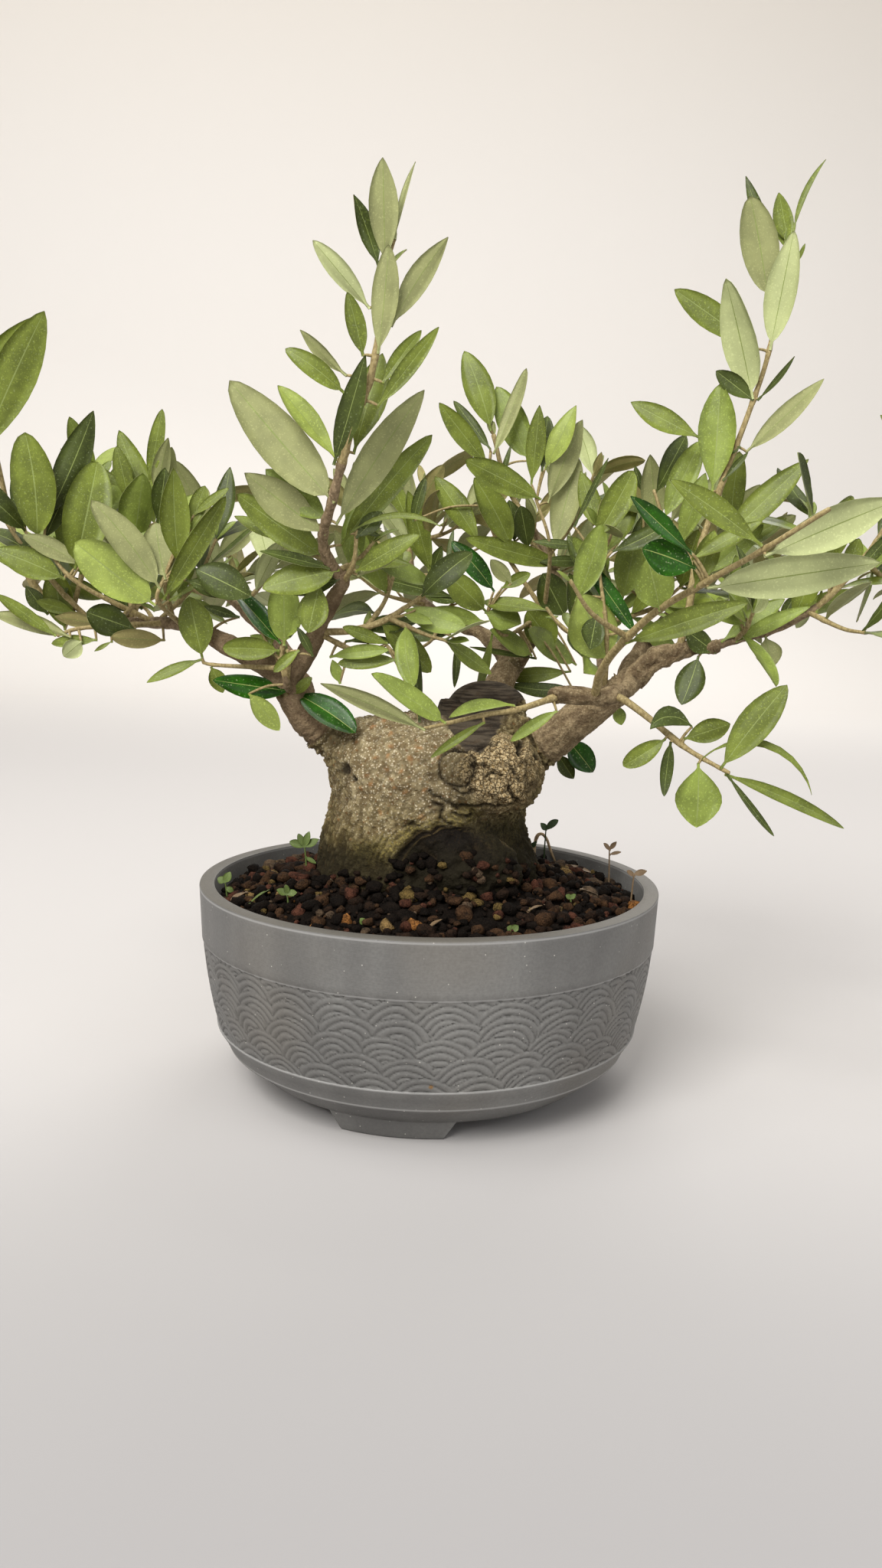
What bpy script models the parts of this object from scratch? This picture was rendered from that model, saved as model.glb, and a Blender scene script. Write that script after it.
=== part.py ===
"""Olive bonsai in a round printed pot.

The solids are a bowl on three feet, its soil, a short thick trunk, boughs, and masses of leafy
twigs. Sizes are in millimetres, measured from the pot's axis and the bottom of its feet, with
+X to the right, +Y to the back and +Z up. Blender gets metres, through MM.
"""
import math
import random
from collections import namedtuple

import bmesh
import bpy
from mathutils import Matrix, Vector
from mathutils.bvhtree import BVHTree

MM = 0.001
GAP = 0.3
UP = Vector((0, 0, 1))
FRONT = Vector((0, -1, 0))

# Pot
TURN_STEPS = 48
RIM_RADIUS = 78.0
RIM_HEIGHT = 68.0
WALL = 5.0
FLOOR = 5.0
UNDERSIDE = 5.7
UNDERSIDE_RADIUS = 58.9
CHAMFER_TOP = (68.3, 13.5)
WAVE_LOW = (72.1, 21.0)
WAVE_MIDDLE = (75.2, 36.0)
WAVE_TOP = (76.9, 50.0)
FOOT_CENTRES = (-10.0, 110.0, 230.0)
FOOT_SPAN = 39.0
FOOT_STEPS = 6
FOOT_INNER = 48.5
FOOT_OUTER_TOP = 59.4
FOOT_OUTER_LOW = 58.4
FOOT_SUNK = 0.9
FOOT_END_SLANT = 0.81

# Soil
SOIL_WALL_HEIGHT = 63.5
SOIL_SEAT_HEIGHT = 72.0
SOIL_SEAT_RADIUS = 42.0

# Trunk: height, then how far it reaches left, right, front and back of the pot's axis
GROUND = SOIL_SEAT_HEIGHT + GAP
TRUNK_STATIONS = (
    (70.0, 41.5, 37.5, 36.0, 34.0),
    (76.0, 40.0, 35.5, 34.0, 32.0),
    (82.0, 38.4, 33.0, 32.0, 30.0),
    (90.0, 36.0, 30.8, 31.0, 28.5),
    (98.0, 34.8, 32.0, 31.5, 28.0),
    (106.0, 36.0, 36.5, 32.0, 28.0),
    (113.0, 37.5, 35.0, 30.0, 27.0),
    (119.0, 34.0, 31.0, 25.0, 24.0),
    (123.5, 24.0, 26.0, 16.0, 17.0),
    (125.5, 11.0, 16.0, 7.0, 8.0),
)
TRUNK_SIDES = 28
TRUNK_LOBES = 5
TRUNK_LOBE_DEPTH = 0.035
BURL = ((17.0, -17.0, 107.0), (19.5, 19.0, 14.0))
ROOT_ARCH = ((11.0, -24.0, 75.0), (19.0, 14.0, 15.5))
STUMP_ROUTE = ((11.0, 2.0, 108.0), (13.0, 5.0, 124.0), (15.0, 7.0, 137.0))
STUMP_RADII = (15.0, 11.5)

LUMP_SIDES = 14
LUMP_RINGS = 9

# Limbs: the routes of their centre lines, and their radius from foot to tip. The first part of
# each main bough is its collar, one with the trunk, and the bough goes on from the saw cut.
LIMB_SIDES = 8
LIMB_SPACING = 8.0
Limb = namedtuple("Limb", "name parent route thick")
MainBough = namedtuple("MainBough", "name route thick cut")
LEFT_ROUTE = ((-14, -1, 104), (-30, 0, 113), (-42, -4, 123), (-47.5, -8, 132), (-54, -10, 140),
              (-65, -10, 145), (-75, -8, 150))
RIGHT_ROUTE = ((14, -2, 102), (30, 0, 111), (40, -4, 118), (48, -8, 125), (56, -10, 131.5),
               (65, -10, 139), (71, -10, 144.5), (79, -11, 148), (88.5, -12, 149.5))
BACK_ROUTE = ((12, 4, 108), (17, 20, 118), (24, 34, 134), (33, 44, 147), (41, 52, 160))
MAIN_BOUGHS = (
    MainBough("left", LEFT_ROUTE, (8.6, 2.5), (-37, -2, 118.5)),
    MainBough("right", RIGHT_ROUTE, (9.6, 1.9), (37, -3, 116)),
    MainBough("back", BACK_ROUTE, (8.2, 2.4), (20, 27, 125)),
)
LIMBS = (
    Limb("centre_limb", "left_bough",
         ((-48.5, -8.7, 133.5), (-44, -11.5, 141), (-40, -14, 148), (-36.5, -18, 155),
          (-32.3, -22, 162), (-29.2, -26, 167)), (3.6, 2.1)),
    Limb("back_left_limb", "left_bough",
         ((-43, -4.5, 124.5), (-44, 3, 131), (-49, 13, 139), (-58, 27, 148), (-68, 38, 156)), (3.4, 2.2)),
    Limb("front_stub", "right_bough",
         ((65, -10, 139), (62.5, -19, 136.5), (59, -26, 135.5), (52, -32, 134),
          (39.5, -32.5, 134.5)), (2.7, 2.9)),
    Limb("right_back_limb", "right_bough",
         ((62, -10, 136.5), (65, -2, 142), (71, 9, 149), (80, 24, 156), (88, 36, 163)), (3.0, 2.0)),
    Limb("back_limb", "back_bough",
         ((28, 38.5, 140), (23, 44, 147), (17, 50, 152), (10, 56, 154), (2, 61, 158)), (3.2, 2.1)),
)

# Foliage. A shoot leaves its stem at a share of the stem's length and ends at a tip. Its leaves
# stand in pairs, each pair a quarter turn from the last, unless rows of its own pairs are given.
# Such a row is: share of the length, then for each leaf its length, its direction as a clock
# face shows it from the front (degrees from 12), and its lean towards the viewer (degrees).
LEAF_THICK = 1.1
LEAF_SINK = 0.3
LEAF_BELLY = 0.30
LEAF_SHOULDERS = ((-0.38, 0.95), (0.30, 0.92))
LEAF_ROOT_SHARE = 0.22
TWIG_ROOT_SHARE = 0.25
TWIG_THICK = (1.5, 1.1)
TWIG_SPACING = 14.0
STEM_SPACING = 12.0
FOOT_PIECE = 1.5
END_INSET = 1.2
CROWN_MIDDLE = 22.0
CROWN_BLEND = 14.0
PROBE_GROW = 1.15
PROBE_THICK = 2.0
SPACE_MARGIN = 36.0
TRIES = 5
Pair = namedtuple("Pair", "at one two")
Shoot = namedtuple("Shoot", "at tip pairs leaf")
Mass = namedtuple("Mass", "name parent slender route thick seed rows pairs leaf shoots")

LEADER_ROWS = (
    Pair(0.05, (24, -100, 15), (26, 101, 0)),
    Pair(0.13, (31, -54, 10), (34, 74, 5)),
    Pair(0.25, (28, -55, 30), (42, 41, 5)),
    Pair(0.36, (41, -45, 22), (37, 37, 20)),
    Pair(0.45, (32, 13, 25), (25, -38, -20)),
    Pair(0.53, (28, 18, -25), (20, -10, 45)),
    Pair(0.63, (27, -54, 0), (28, 44, 5)),
    Pair(0.74, (30, 6, 14), (23, -22, -14)),
    Pair(0.85, (29, -42, 0), (29, 41, 0)),
    Pair(0.98, (30, -3, 5), (21, -30, -15)),
    Pair(1.00, (28, 19, -18), None),
)
RIGHT_LEADER_ROWS = (
    Pair(0.30, (35, 51, 0), (30, -50, -30)),
    Pair(0.40, (34, 6, 22), (26, -70, 20)),
    Pair(0.50, (35, 50, -5), (36, -60, 0)),
    Pair(0.62, (19, 39, -25), (14, -54, -30)),
    Pair(0.66, (38, -13, 12), (20, 30, -40)),
    Pair(0.76, (33, -54, -8), (37, 12, 10)),
    Pair(0.88, (32, -10, 8), (28, -16, -22)),
    Pair(1.00, (17, -9, 5), (27, 21, -5)),
)
FRONT_SPRAY_ROWS = (
    Pair(0.07, (22, -12, 10), (20, 60, -35)),
    Pair(0.18, (37, 70, 0), (24, -30, -30)),
    Pair(0.50, (26, -37, -10), (30, 100, 30)),
    Pair(0.58, (44, 81, 10), (22, -60, 40)),
    Pair(0.78, (30, -54, 0), (42, 66, 8)),
    Pair(0.93, (24, 30, 35), (26, 95, 40)),
)
DROOPING_ROWS = (
    Pair(0.30, (14, 60, 5), (15, -60, 30)),
    Pair(0.52, (16, -121, 0), (15, 71, -10)),
    Pair(0.56, (14, 187, 5), None),
    Pair(0.74, (20, 181, 0), (31, 39, 0)),
    Pair(0.80, (30, 72, -40), None),
    Pair(1.00, (36, 114, 10), (23, 143, 0)),
)
LOW_FRONT_ROWS = (
    Pair(0.10, (18, -123, 20), (16, 60, 35)),
    Pair(0.42, (20, -97, 30), (17, 30, -30)),
    Pair(0.62, (20, 21, 0), (15, 190, 30)),
    Pair(0.80, (28, -55, 0), (13, -148, 10)),
    Pair(1.00, (34, -65, 0), (20, -110, 35)),
)

LEFT_CROWN_ROWS = (
    Pair(0.03, (22, -112, 12), (21, -14, 30)),
    Pair(0.44, (28, -78, 0), (26, -115, 20)),
    Pair(0.58, (34, -12, 20), (28, -70, -10)),
    Pair(0.70, (30, 40, -10), (30, -45, 10)),
    Pair(0.84, (30, -30, -20), (26, 50, 20)),
    Pair(1.00, (36, 25, 5), (32, -28, -5)),
)
LEFT_INNER_ROWS = (
    Pair(0.12, (23, -83, 14), (21, 117, 25)),
    Pair(0.26, (40, 104, 22), (18, 186, 20)),
    Pair(0.62, (18, -98, 12), (10, 120, 40)),
    Pair(0.80, (24, -38, 10), (16, 40, -30)),
    Pair(1.00, (22, -6, 8), (17, 12, -20)),
)
RIGHT_TIP_ROWS = (
    Pair(0.08, (20, 186, -20), None),
    Pair(0.24, (15, 192, 8), None),
)
LOW_RIGHT_ROWS = (
    Pair(0.55, (19, 112, 5), (17, 190, 30)),
    Pair(0.78, (20, 85, -55), (18, -70, -45)),
    Pair(1.00, (22, 150, 8), (21, 200, -8)),
)
BACK_RIGHT_ROWS = (
    Pair(0.36, (30, 20, 35), (28, -70, 0)),
    Pair(0.50, (29, -48, 30), (30, 62, -20)),
    Pair(0.64, (30, 38, 20), (30, -75, -25)),
    Pair(0.78, (33, -52, 5), (29, 52, -5)),
    Pair(0.90, (26, 10, 30), (28, -20, -35)),
    Pair(1.00, (33, -22, 0), (31, 30, -5)),
)

MASSES = (
    Mass(
        "leader", parent="centre_limb", slender=0.28, thick=(1.9, 1.1), seed=11,
        route=((-29.2, -26, 167), (-34.5, -36, 178), (-30.7, -48, 190), (-24.7, -57, 209),
               (-19, -60, 224), (-15.8, -58, 250)),
        rows=LEADER_ROWS, pairs=0, leaf=30,
        shoots=(
            Shoot(0.05, (-20, -24, 180), 3, 24),
            Shoot(0.1, (-44, -22, 180), 2, 24),
        )),
    Mass(
        "right_leader", parent="right_bough", slender=0.28, thick=(1.8, 1.0), seed=12,
        route=((79.5, -11, 148), (80.5, -12.5, 155), (81.5, -14, 163), (83, -14, 177),
               (88.8, -14, 199), (96.9, -14, 224), (102, -14, 243), (105.5, -13, 273)),
        rows=RIGHT_LEADER_ROWS, pairs=0, leaf=32,
        shoots=(
            Shoot(0.16, (98, 4, 190), 3, 28),
            Shoot(0.22, (70, -4, 200), 3, 28),
        )),
    Mass(
        "front_spray", parent="front_stub", slender=0.25, thick=(2.0, 1.0), seed=13,
        route=((49.5, -32.5, 134), (49.6, -37, 138), (49.7, -42, 142), (52.2, -52, 149),
               (59.7, -70, 160), (68.3, -88, 167.5), (78, -104, 175), (89, -119, 184)),
        rows=FRONT_SPRAY_ROWS, pairs=0, leaf=32,
        shoots=(
            Shoot(0.3, (36, -72, 168), 3, 26),
        )),
    Mass(
        "drooping_spray", parent="front_stub", slender=0.34, thick=(1.6, 1.0), seed=14,
        route=((55.5, -29.5, 134.8), (58.5, -34, 133.5), (61.5, -37, 131.5), (66, -42, 128),
               (75.4, -50, 120.5), (85.5, -60, 115)),
        rows=DROOPING_ROWS, pairs=0, leaf=20,
        shoots=()),
    Mass(
        "low_front_spray", parent="front_stub", slender=0.3, thick=(1.6, 1.0), seed=15,
        route=((39.5, -32.5, 134.5), (25.6, -42, 130.5), (14.8, -48, 129), (-2.6, -58, 125.5)),
        rows=LOW_FRONT_ROWS, pairs=0, leaf=24,
        shoots=()),
    Mass(
        "right_tip", parent="right_bough", slender=0.28, thick=(1.6, 1.0), seed=16,
        route=((88.5, -12, 149.5), (97, -14, 152.5), (108, -18, 156), (121, -24, 165), (135, -28, 184),
               (140, -30, 200)),
        rows=RIGHT_TIP_ROWS, pairs=4, leaf=28,
        shoots=(
            Shoot(0.12, (104, -24, 172), 3, 28),
            Shoot(0.3, (122, 2, 170), 3, 28),
            Shoot(0.42, (126, -48, 156), 3, 28),
            Shoot(0.55, (118, -18, 192), 3, 28),
            Shoot(0.7, (148, -16, 170), 3, 28),
        )),
    Mass(
        "low_right_spray", parent="right_bough", slender=0.4, thick=(1.5, 1.1), seed=25,
        route=((51, -9, 127.5), (51, 0, 126), (50, 6, 122.5), (49, 9, 118)),
        rows=LOW_RIGHT_ROWS, pairs=0, leaf=20,
        shoots=()),
    Mass(
        "right_inner", parent="right_bough", slender=0.35, thick=(1.8, 1.1), seed=17,
        route=((56, -10, 131.5), (55.5, -5, 139), (56, 2, 148), (60, 8, 164), (70, 10, 184)),
        rows=(), pairs=4, leaf=28,
        shoots=(
            Shoot(0.15, (42, -14, 156), 3, 26),
            Shoot(0.3, (38, 6, 172), 3, 26),
            Shoot(0.5, (82, 0, 170), 3, 26),
            Shoot(0.62, (52, -6, 188), 3, 26),
            Shoot(0.75, (74, 30, 188), 3, 26),
        )),
    Mass(
        "left_crown", parent="left_bough", slender=0.3, thick=(2.3, 1.1), seed=18,
        route=((-75, -8, 150), (-86, -6, 153), (-108, -4, 153), (-121, -3, 155), (-137, 0, 170),
               (-148, 2, 216)),
        rows=LEFT_CROWN_ROWS, pairs=0, leaf=32,
        shoots=(
            Shoot(0.1, (-89, -12, 176), 3, 33),
            Shoot(0.15, (-76, 14, 182), 3, 30),
            Shoot(0.22, (-100, 22, 196), 3, 31),
            Shoot(0.27, (-94, -30, 163), 2, 28),
            Shoot(0.34, (-131, -8, 179), 3, 33),
            Shoot(0.4, (-116, 10, 200), 3, 31),
            Shoot(0.47, (-138, -32, 158), 3, 31),
            Shoot(0.55, (-138, 28, 176), 3, 31),
        )),
    Mass(
        "left_inner", parent="left_bough", slender=0.42, thick=(1.6, 1.1), seed=19,
        route=((-47.5, -8, 132), (-47.5, -15, 133.5), (-48, -18.5, 138), (-49, -19, 144),
               (-48, -20, 150)),
        rows=LEFT_INNER_ROWS, pairs=0, leaf=22,
        shoots=()),
    Mass(
        "inner_spray", parent="centre_limb", slender=0.36, thick=(1.5, 1.1), seed=20,
        route=((-38.3, -16, 151.5), (-33, -18, 151.8), (-26, -20, 152.5), (-16, -20, 156),
               (-4, -18, 164)),
        rows=(), pairs=4, leaf=25,
        shoots=(
            Shoot(0.25, (-22, -34, 146), 2, 24),
            Shoot(0.45, (-18, -4, 172), 3, 26),
            Shoot(0.65, (4, -26, 150), 2, 24),
        )),
    Mass(
        "back_left_crown", parent="back_left_limb", slender=0.31, thick=(2.0, 1.1), seed=21,
        route=((-68, 38, 156), (-79, 48, 164), (-86, 58, 180), (-88, 62, 200)),
        rows=(), pairs=4, leaf=31,
        shoots=(
            Shoot(0.12, (-60, 56, 182), 3, 29),
            Shoot(0.24, (-104, 44, 172), 3, 31),
            Shoot(0.38, (-78, 86, 172), 3, 31),
            Shoot(0.52, (-112, 66, 190), 3, 31),
        )),
    Mass(
        "back_centre_crown", parent="back_limb", slender=0.32, thick=(2.0, 1.1), seed=22,
        route=((2, 61, 158), (-7, 66, 166), (-11, 70, 184), (-6, 72, 208)),
        rows=(), pairs=4, leaf=30,
        shoots=(
            Shoot(0.12, (-30, 58, 172), 3, 29),
            Shoot(0.32, (-14, 94, 176), 3, 30),
            Shoot(0.46, (-34, 74, 198), 3, 29),
            Shoot(0.6, (12, 60, 196), 2, 28),
        )),
    Mass(
        "back_right_crown", parent="back_bough", slender=0.31, thick=(2.1, 1.1), seed=23,
        route=((41, 52, 160), (46, 55, 171), (38, 58, 188), (26, 60, 207), (20, 60, 226)),
        rows=BACK_RIGHT_ROWS, pairs=0, leaf=30,
        shoots=(
            Shoot(0.12, (70, 54, 190), 3, 29),
            Shoot(0.22, (50, 88, 182), 3, 30),
            Shoot(0.32, (58, 54, 212), 4, 29),
            Shoot(0.46, (16, 84, 200), 3, 29),
        )),
    Mass(
        "right_back_crown", parent="right_back_limb", slender=0.31, thick=(1.9, 1.1), seed=24,
        route=((88, 36, 163), (96, 42, 174), (100, 46, 192)),
        rows=(), pairs=4, leaf=30,
        shoots=(
            Shoot(0.15, (114, 26, 176), 3, 30),
            Shoot(0.3, (86, 60, 186), 3, 29),
            Shoot(0.5, (120, 56, 188), 3, 30),
        )),
)

# Colours, as linear red, green, blue, with roughness
POT_GREY = (0.20, 0.19, 0.18)
SOIL_BROWN = (0.030, 0.020, 0.014)
BARK = (0.30, 0.235, 0.15)
BOUGH_BARK = (0.24, 0.17, 0.11)
LEAF_GREEN = (0.15, 0.23, 0.055)


def principled(name, colour, roughness):
    material = bpy.data.materials.new(name)
    material.use_nodes = True
    shader = material.node_tree.nodes["Principled BSDF"]
    shader.inputs["Base Color"].default_value = (*colour, 1)
    shader.inputs["Roughness"].default_value = roughness
    shader.inputs["Metallic"].default_value = 0.0
    return material


def smooth(places, fineness=10):
    """Points of a smooth line that runs through a few places."""
    knots = [Vector(place) for place in places]
    knots = [2 * knots[0] - knots[1], *knots, 2 * knots[-1] - knots[-2]]
    points = []
    for before, start, end, after in zip(knots, knots[1:], knots[2:], knots[3:]):
        for step in range(fineness):
            t = step / fineness
            points.append(0.5 * (
                2 * start + (end - before) * t
                + (2 * before - 5 * start + 4 * end - after) * t ** 2
                + (3 * start - before - 3 * end + after) * t ** 3))
    points.append(knots[-2].copy())
    return points


class Route:
    """A line through points, read by the distance along it."""

    def __init__(self, points):
        self.points = [Vector(point) for point in points]
        self.marks = [0.0]
        for start, end in zip(self.points, self.points[1:]):
            self.marks.append(self.marks[-1] + (end - start).length)
        self.length = self.marks[-1]

    def point(self, distance):
        distance = min(max(distance, 0.0), self.length)
        for index in range(1, len(self.marks)):
            if distance <= self.marks[index]:
                span = self.marks[index] - self.marks[index - 1]
                share = (distance - self.marks[index - 1]) / span
                return self.points[index - 1].lerp(self.points[index], share)
        return self.points[-1].copy()

    def tangent(self, distance, reach=1.5):
        ahead = self.point(min(distance + reach, self.length))
        behind = self.point(max(distance - reach, 0.0))
        return (ahead - behind).normalized()

    def nearest(self, place):
        """The distance along the line of its point nearest to a place."""
        gaps = [(point - place).length for point in self.points]
        return self.marks[gaps.index(min(gaps))]


def mesh_object(name, mesh, home):
    solid = bpy.data.objects.new(name, mesh)
    home.objects.link(solid)
    return solid


def from_bmesh(name, body, home):
    bmesh.ops.recalc_face_normals(body, faces=body.faces)
    mesh = bpy.data.meshes.new(name)
    body.to_mesh(mesh)
    body.free()
    return mesh_object(name, mesh, home)


def evaluated_mesh(solid):
    depsgraph = bpy.context.evaluated_depsgraph_get()
    return bpy.data.meshes.new_from_object(solid.evaluated_get(depsgraph))


def drop(solid):
    data = solid.data
    bpy.data.objects.remove(solid)
    if isinstance(data, bpy.types.Mesh):
        bpy.data.meshes.remove(data)
    else:
        bpy.data.curves.remove(data)


def triangle_section():
    """The outline that gives twigs their three sides."""
    curve = bpy.data.curves.new("twig_section", "CURVE")
    spline = curve.splines.new("POLY")
    spline.points.add(2)
    for corner, place in enumerate(spline.points):
        angle = math.radians(120 * corner + 90)
        place.co = (MM * math.cos(angle), MM * math.sin(angle), 0, 1)
    spline.use_cyclic_u = True
    section = bpy.data.objects.new("twig_section", curve)
    section.hide_render = True
    section.display_type = "WIRE"
    bpy.context.scene.collection.objects.link(section)
    return section


def tube(name, points, radii, home, section=None):
    """A solid along a line of points, with a radius at each: a section's outline, or eight sides."""
    curve = bpy.data.curves.new(name, "CURVE")
    curve.dimensions = "3D"
    curve.use_fill_caps = True
    if section:
        curve.bevel_mode = "OBJECT"
        curve.bevel_object = section
    else:
        curve.bevel_depth = MM
        curve.bevel_resolution = LIMB_SIDES // 2 - 2
    spline = curve.splines.new("POLY")
    spline.points.add(len(points) - 1)
    for spline_point, place, radius in zip(spline.points, points, radii):
        spline_point.co = (*(place * MM), 1)
        spline_point.radius = radius
    line = bpy.data.objects.new(name + "_line", curve)
    home.objects.link(line)
    mesh = evaluated_mesh(line)
    drop(line)
    body = bmesh.new()
    body.from_mesh(mesh)
    bpy.data.meshes.remove(mesh)
    bmesh.ops.remove_doubles(body, verts=body.verts, dist=0.01 * MM)
    return from_bmesh(name, body, home)


def span_points(route, start, end, spacing):
    """Points from one distance to another, with the first and last pieces square to their ends."""
    square = min(2.0, (end - start) / 4)
    points = [route.point(start), route.point(start) + square * route.tangent(start)]
    inner = max(1, round((end - start) / spacing))
    for step in range(1, inner):
        points.append(route.point(start + (end - start) * step / inner))
    points.append(route.point(end) - square * route.tangent(end))
    points.append(route.point(end))
    return points


def span_tube(name, route, start, end, radius_at, home):
    points = span_points(route, start, end, LIMB_SPACING)
    radii = [radius_at(route.nearest(point)) for point in points]
    radii[0] = radius_at(start)
    radii[-1] = radius_at(end)
    return tube(name, points, radii, home)


def join(base, pieces_collection):
    """Fuse a collection's objects to a base solid, and keep the one closed body that comes of it."""
    union = base.modifiers.new("union", "BOOLEAN")
    union.operation = "UNION"
    union.solver = "EXACT"
    union.operand_type = "COLLECTION"
    union.collection = pieces_collection
    mesh = evaluated_mesh(base)
    base.modifiers.remove(union)
    for piece in list(pieces_collection.objects):
        drop(piece)
    bpy.data.collections.remove(pieces_collection)
    old = base.data
    base.data = mesh
    bpy.data.meshes.remove(old)
    keep_largest_body(mesh)


def keep_largest_body(mesh):
    """Drop loose scraps and fill sealed hollows: both are islands of faces apart from the body."""
    body = bmesh.new()
    body.from_mesh(mesh)
    islands = []
    seen = set()
    for first in body.verts:
        if first in seen:
            continue
        island = []
        stack = [first]
        seen.add(first)
        while stack:
            vertex = stack.pop()
            island.append(vertex)
            for edge in vertex.link_edges:
                other = edge.other_vert(vertex)
                if other not in seen:
                    seen.add(other)
                    stack.append(other)
        islands.append(island)
    islands.sort(key=len)
    for island in islands[:-1]:
        bmesh.ops.delete(body, geom=island, context="VERTS")
    bmesh.ops.triangulate(body, faces=body.faces)
    open_edges = sum(1 for edge in body.edges if len(edge.link_faces) != 2)
    print(f"{mesh.name}: {len(body.faces)} faces, {len(islands) - 1} scraps, {open_edges} open edges")
    body.to_mesh(mesh)
    body.free()


def turned(name, profile, home):
    """A profile of radius and height turned round the pot's axis. It runs down its outer side."""
    body = bmesh.new()
    corners = [body.verts.new((radius * MM, 0, height * MM)) for radius, height in profile]
    for start, end in zip(corners, corners[1:]):
        body.edges.new((start, end))
    mesh = bpy.data.meshes.new(name)
    body.to_mesh(mesh)
    body.free()
    solid = mesh_object(name, mesh, home)
    screw = solid.modifiers.new("turn", "SCREW")
    screw.axis = "Z"
    screw.angle = math.tau
    screw.steps = TURN_STEPS
    screw.render_steps = TURN_STEPS
    screw.use_merge_vertices = True
    screw.merge_threshold = 0.01 * MM
    return solid


def inner_profile(clearance):
    """The bowl's inside from the middle of its floor to its rim, moved inwards by a clearance."""
    wall = WALL + clearance
    return [
        (0.0, UNDERSIDE + FLOOR + clearance),
        (UNDERSIDE_RADIUS - 2.0 - clearance, UNDERSIDE + FLOOR + clearance),
        (CHAMFER_TOP[0] - wall, CHAMFER_TOP[1] + 4.0 + clearance),
        (WAVE_MIDDLE[0] - wall, WAVE_MIDDLE[1]),
        (WAVE_TOP[0] - wall, WAVE_TOP[1]),
        (RIM_RADIUS - wall, RIM_HEIGHT),
    ]


def make_foot(centre_angle, home):
    """One curved foot: its cross-section swept round the pot's axis, with ends that lean inwards."""
    body = bmesh.new()
    start = math.radians(centre_angle - FOOT_SPAN / 2 - 90)
    section = [
        (FOOT_INNER, 0.0),
        (FOOT_OUTER_LOW, 0.0),
        (FOOT_OUTER_TOP, UNDERSIDE + FOOT_SUNK),
        (FOOT_INNER, UNDERSIDE + FOOT_SUNK),
    ]
    corners = []
    for radius, height in section:
        place = Vector((radius * math.cos(start), radius * math.sin(start), height))
        corners.append(body.verts.new(place * MM))
    face = body.faces.new(corners)
    geometry = [face, *face.edges, *face.verts]
    bmesh.ops.spin(body, geom=geometry, cent=(0, 0, 0), axis=(0, 0, 1), dvec=(0, 0, 0),
                   angle=math.radians(FOOT_SPAN), steps=FOOT_STEPS, use_duplicate=False)
    middle = math.radians(centre_angle - 90)
    for vertex in body.verts:
        if vertex.co.z < 0.5 * UNDERSIDE * MM:
            radius = math.hypot(vertex.co.x, vertex.co.y)
            angle = math.atan2(vertex.co.y, vertex.co.x) - middle
            angle = (angle + math.pi) % math.tau - math.pi
            angle = middle + angle * FOOT_END_SLANT
            vertex.co.x = radius * math.cos(angle)
            vertex.co.y = radius * math.sin(angle)
    return from_bmesh("foot", body, home)


def make_pot(home, pieces):
    outer = [
        (RIM_RADIUS, RIM_HEIGHT),
        WAVE_TOP,
        WAVE_MIDDLE,
        WAVE_LOW,
        CHAMFER_TOP,
        (UNDERSIDE_RADIUS, UNDERSIDE),
        (0.0, UNDERSIDE),
    ]
    pot = turned("pot", inner_profile(0.0) + outer, home)
    pot.data = evaluated_mesh(pot)
    pot.modifiers.clear()
    for angle in FOOT_CENTRES:
        make_foot(angle, pieces)
    join(pot, pieces)
    return pot


def make_soil(home):
    wall = inner_profile(GAP)
    height_share = (SOIL_WALL_HEIGHT - WAVE_TOP[1]) / (RIM_HEIGHT - WAVE_TOP[1])
    edge_radius = wall[-2][0] + (wall[-1][0] - wall[-2][0]) * height_share
    top = [
        (0.0, SOIL_SEAT_HEIGHT),
        (SOIL_SEAT_RADIUS, SOIL_SEAT_HEIGHT),
        (SOIL_SEAT_RADIUS + 9.0, SOIL_SEAT_HEIGHT - 3.0),
        (edge_radius - 9.0, SOIL_WALL_HEIGHT + 1.5),
        (edge_radius, SOIL_WALL_HEIGHT),
    ]
    return turned("soil", top + wall[-2::-1], home)


def trunk_section(stations, share_angle):
    """How far the trunk reaches at one angle, from its reach left, right, front and back."""
    left, right, front, back = stations
    across = right if math.cos(share_angle) > 0 else left
    along = back if math.sin(share_angle) > 0 else front
    reach = 1 / math.hypot(math.cos(share_angle) / across, math.sin(share_angle) / along)
    return reach


def make_trunk_body(home):
    """A loft up the trunk through its stations, with soft lobes that fade towards the top."""
    body = bmesh.new()
    rings = []
    top = TRUNK_STATIONS[-1][0]
    bottom = TRUNK_STATIONS[0][0]
    for height, *reaches in TRUNK_STATIONS:
        ring = []
        lobe_depth = TRUNK_LOBE_DEPTH * (top - height) / (top - bottom)
        for side in range(TRUNK_SIDES):
            angle = math.tau * side / TRUNK_SIDES
            reach = trunk_section(reaches, angle) * (1 + lobe_depth * math.cos(TRUNK_LOBES * angle))
            place = Vector((reach * math.cos(angle), reach * math.sin(angle), height))
            ring.append(body.verts.new(place * MM))
        rings.append(ring)
    for low, high in zip(rings, rings[1:]):
        for side in range(TRUNK_SIDES):
            following = (side + 1) % TRUNK_SIDES
            body.faces.new((low[side], low[following], high[following], high[side]))
    body.faces.new(reversed(rings[0]))
    body.faces.new(rings[-1])
    return from_bmesh("trunk", body, home)


def make_lump(name, centre, radii, home):
    body = bmesh.new()
    bmesh.ops.create_uvsphere(body, u_segments=LUMP_SIDES, v_segments=LUMP_RINGS, radius=1)
    place = Matrix.Translation(Vector(centre) * MM) @ Matrix.Diagonal((*(Vector(radii) * MM), 1))
    bmesh.ops.transform(body, matrix=place, verts=body.verts)
    return from_bmesh(name, body, home)


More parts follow.
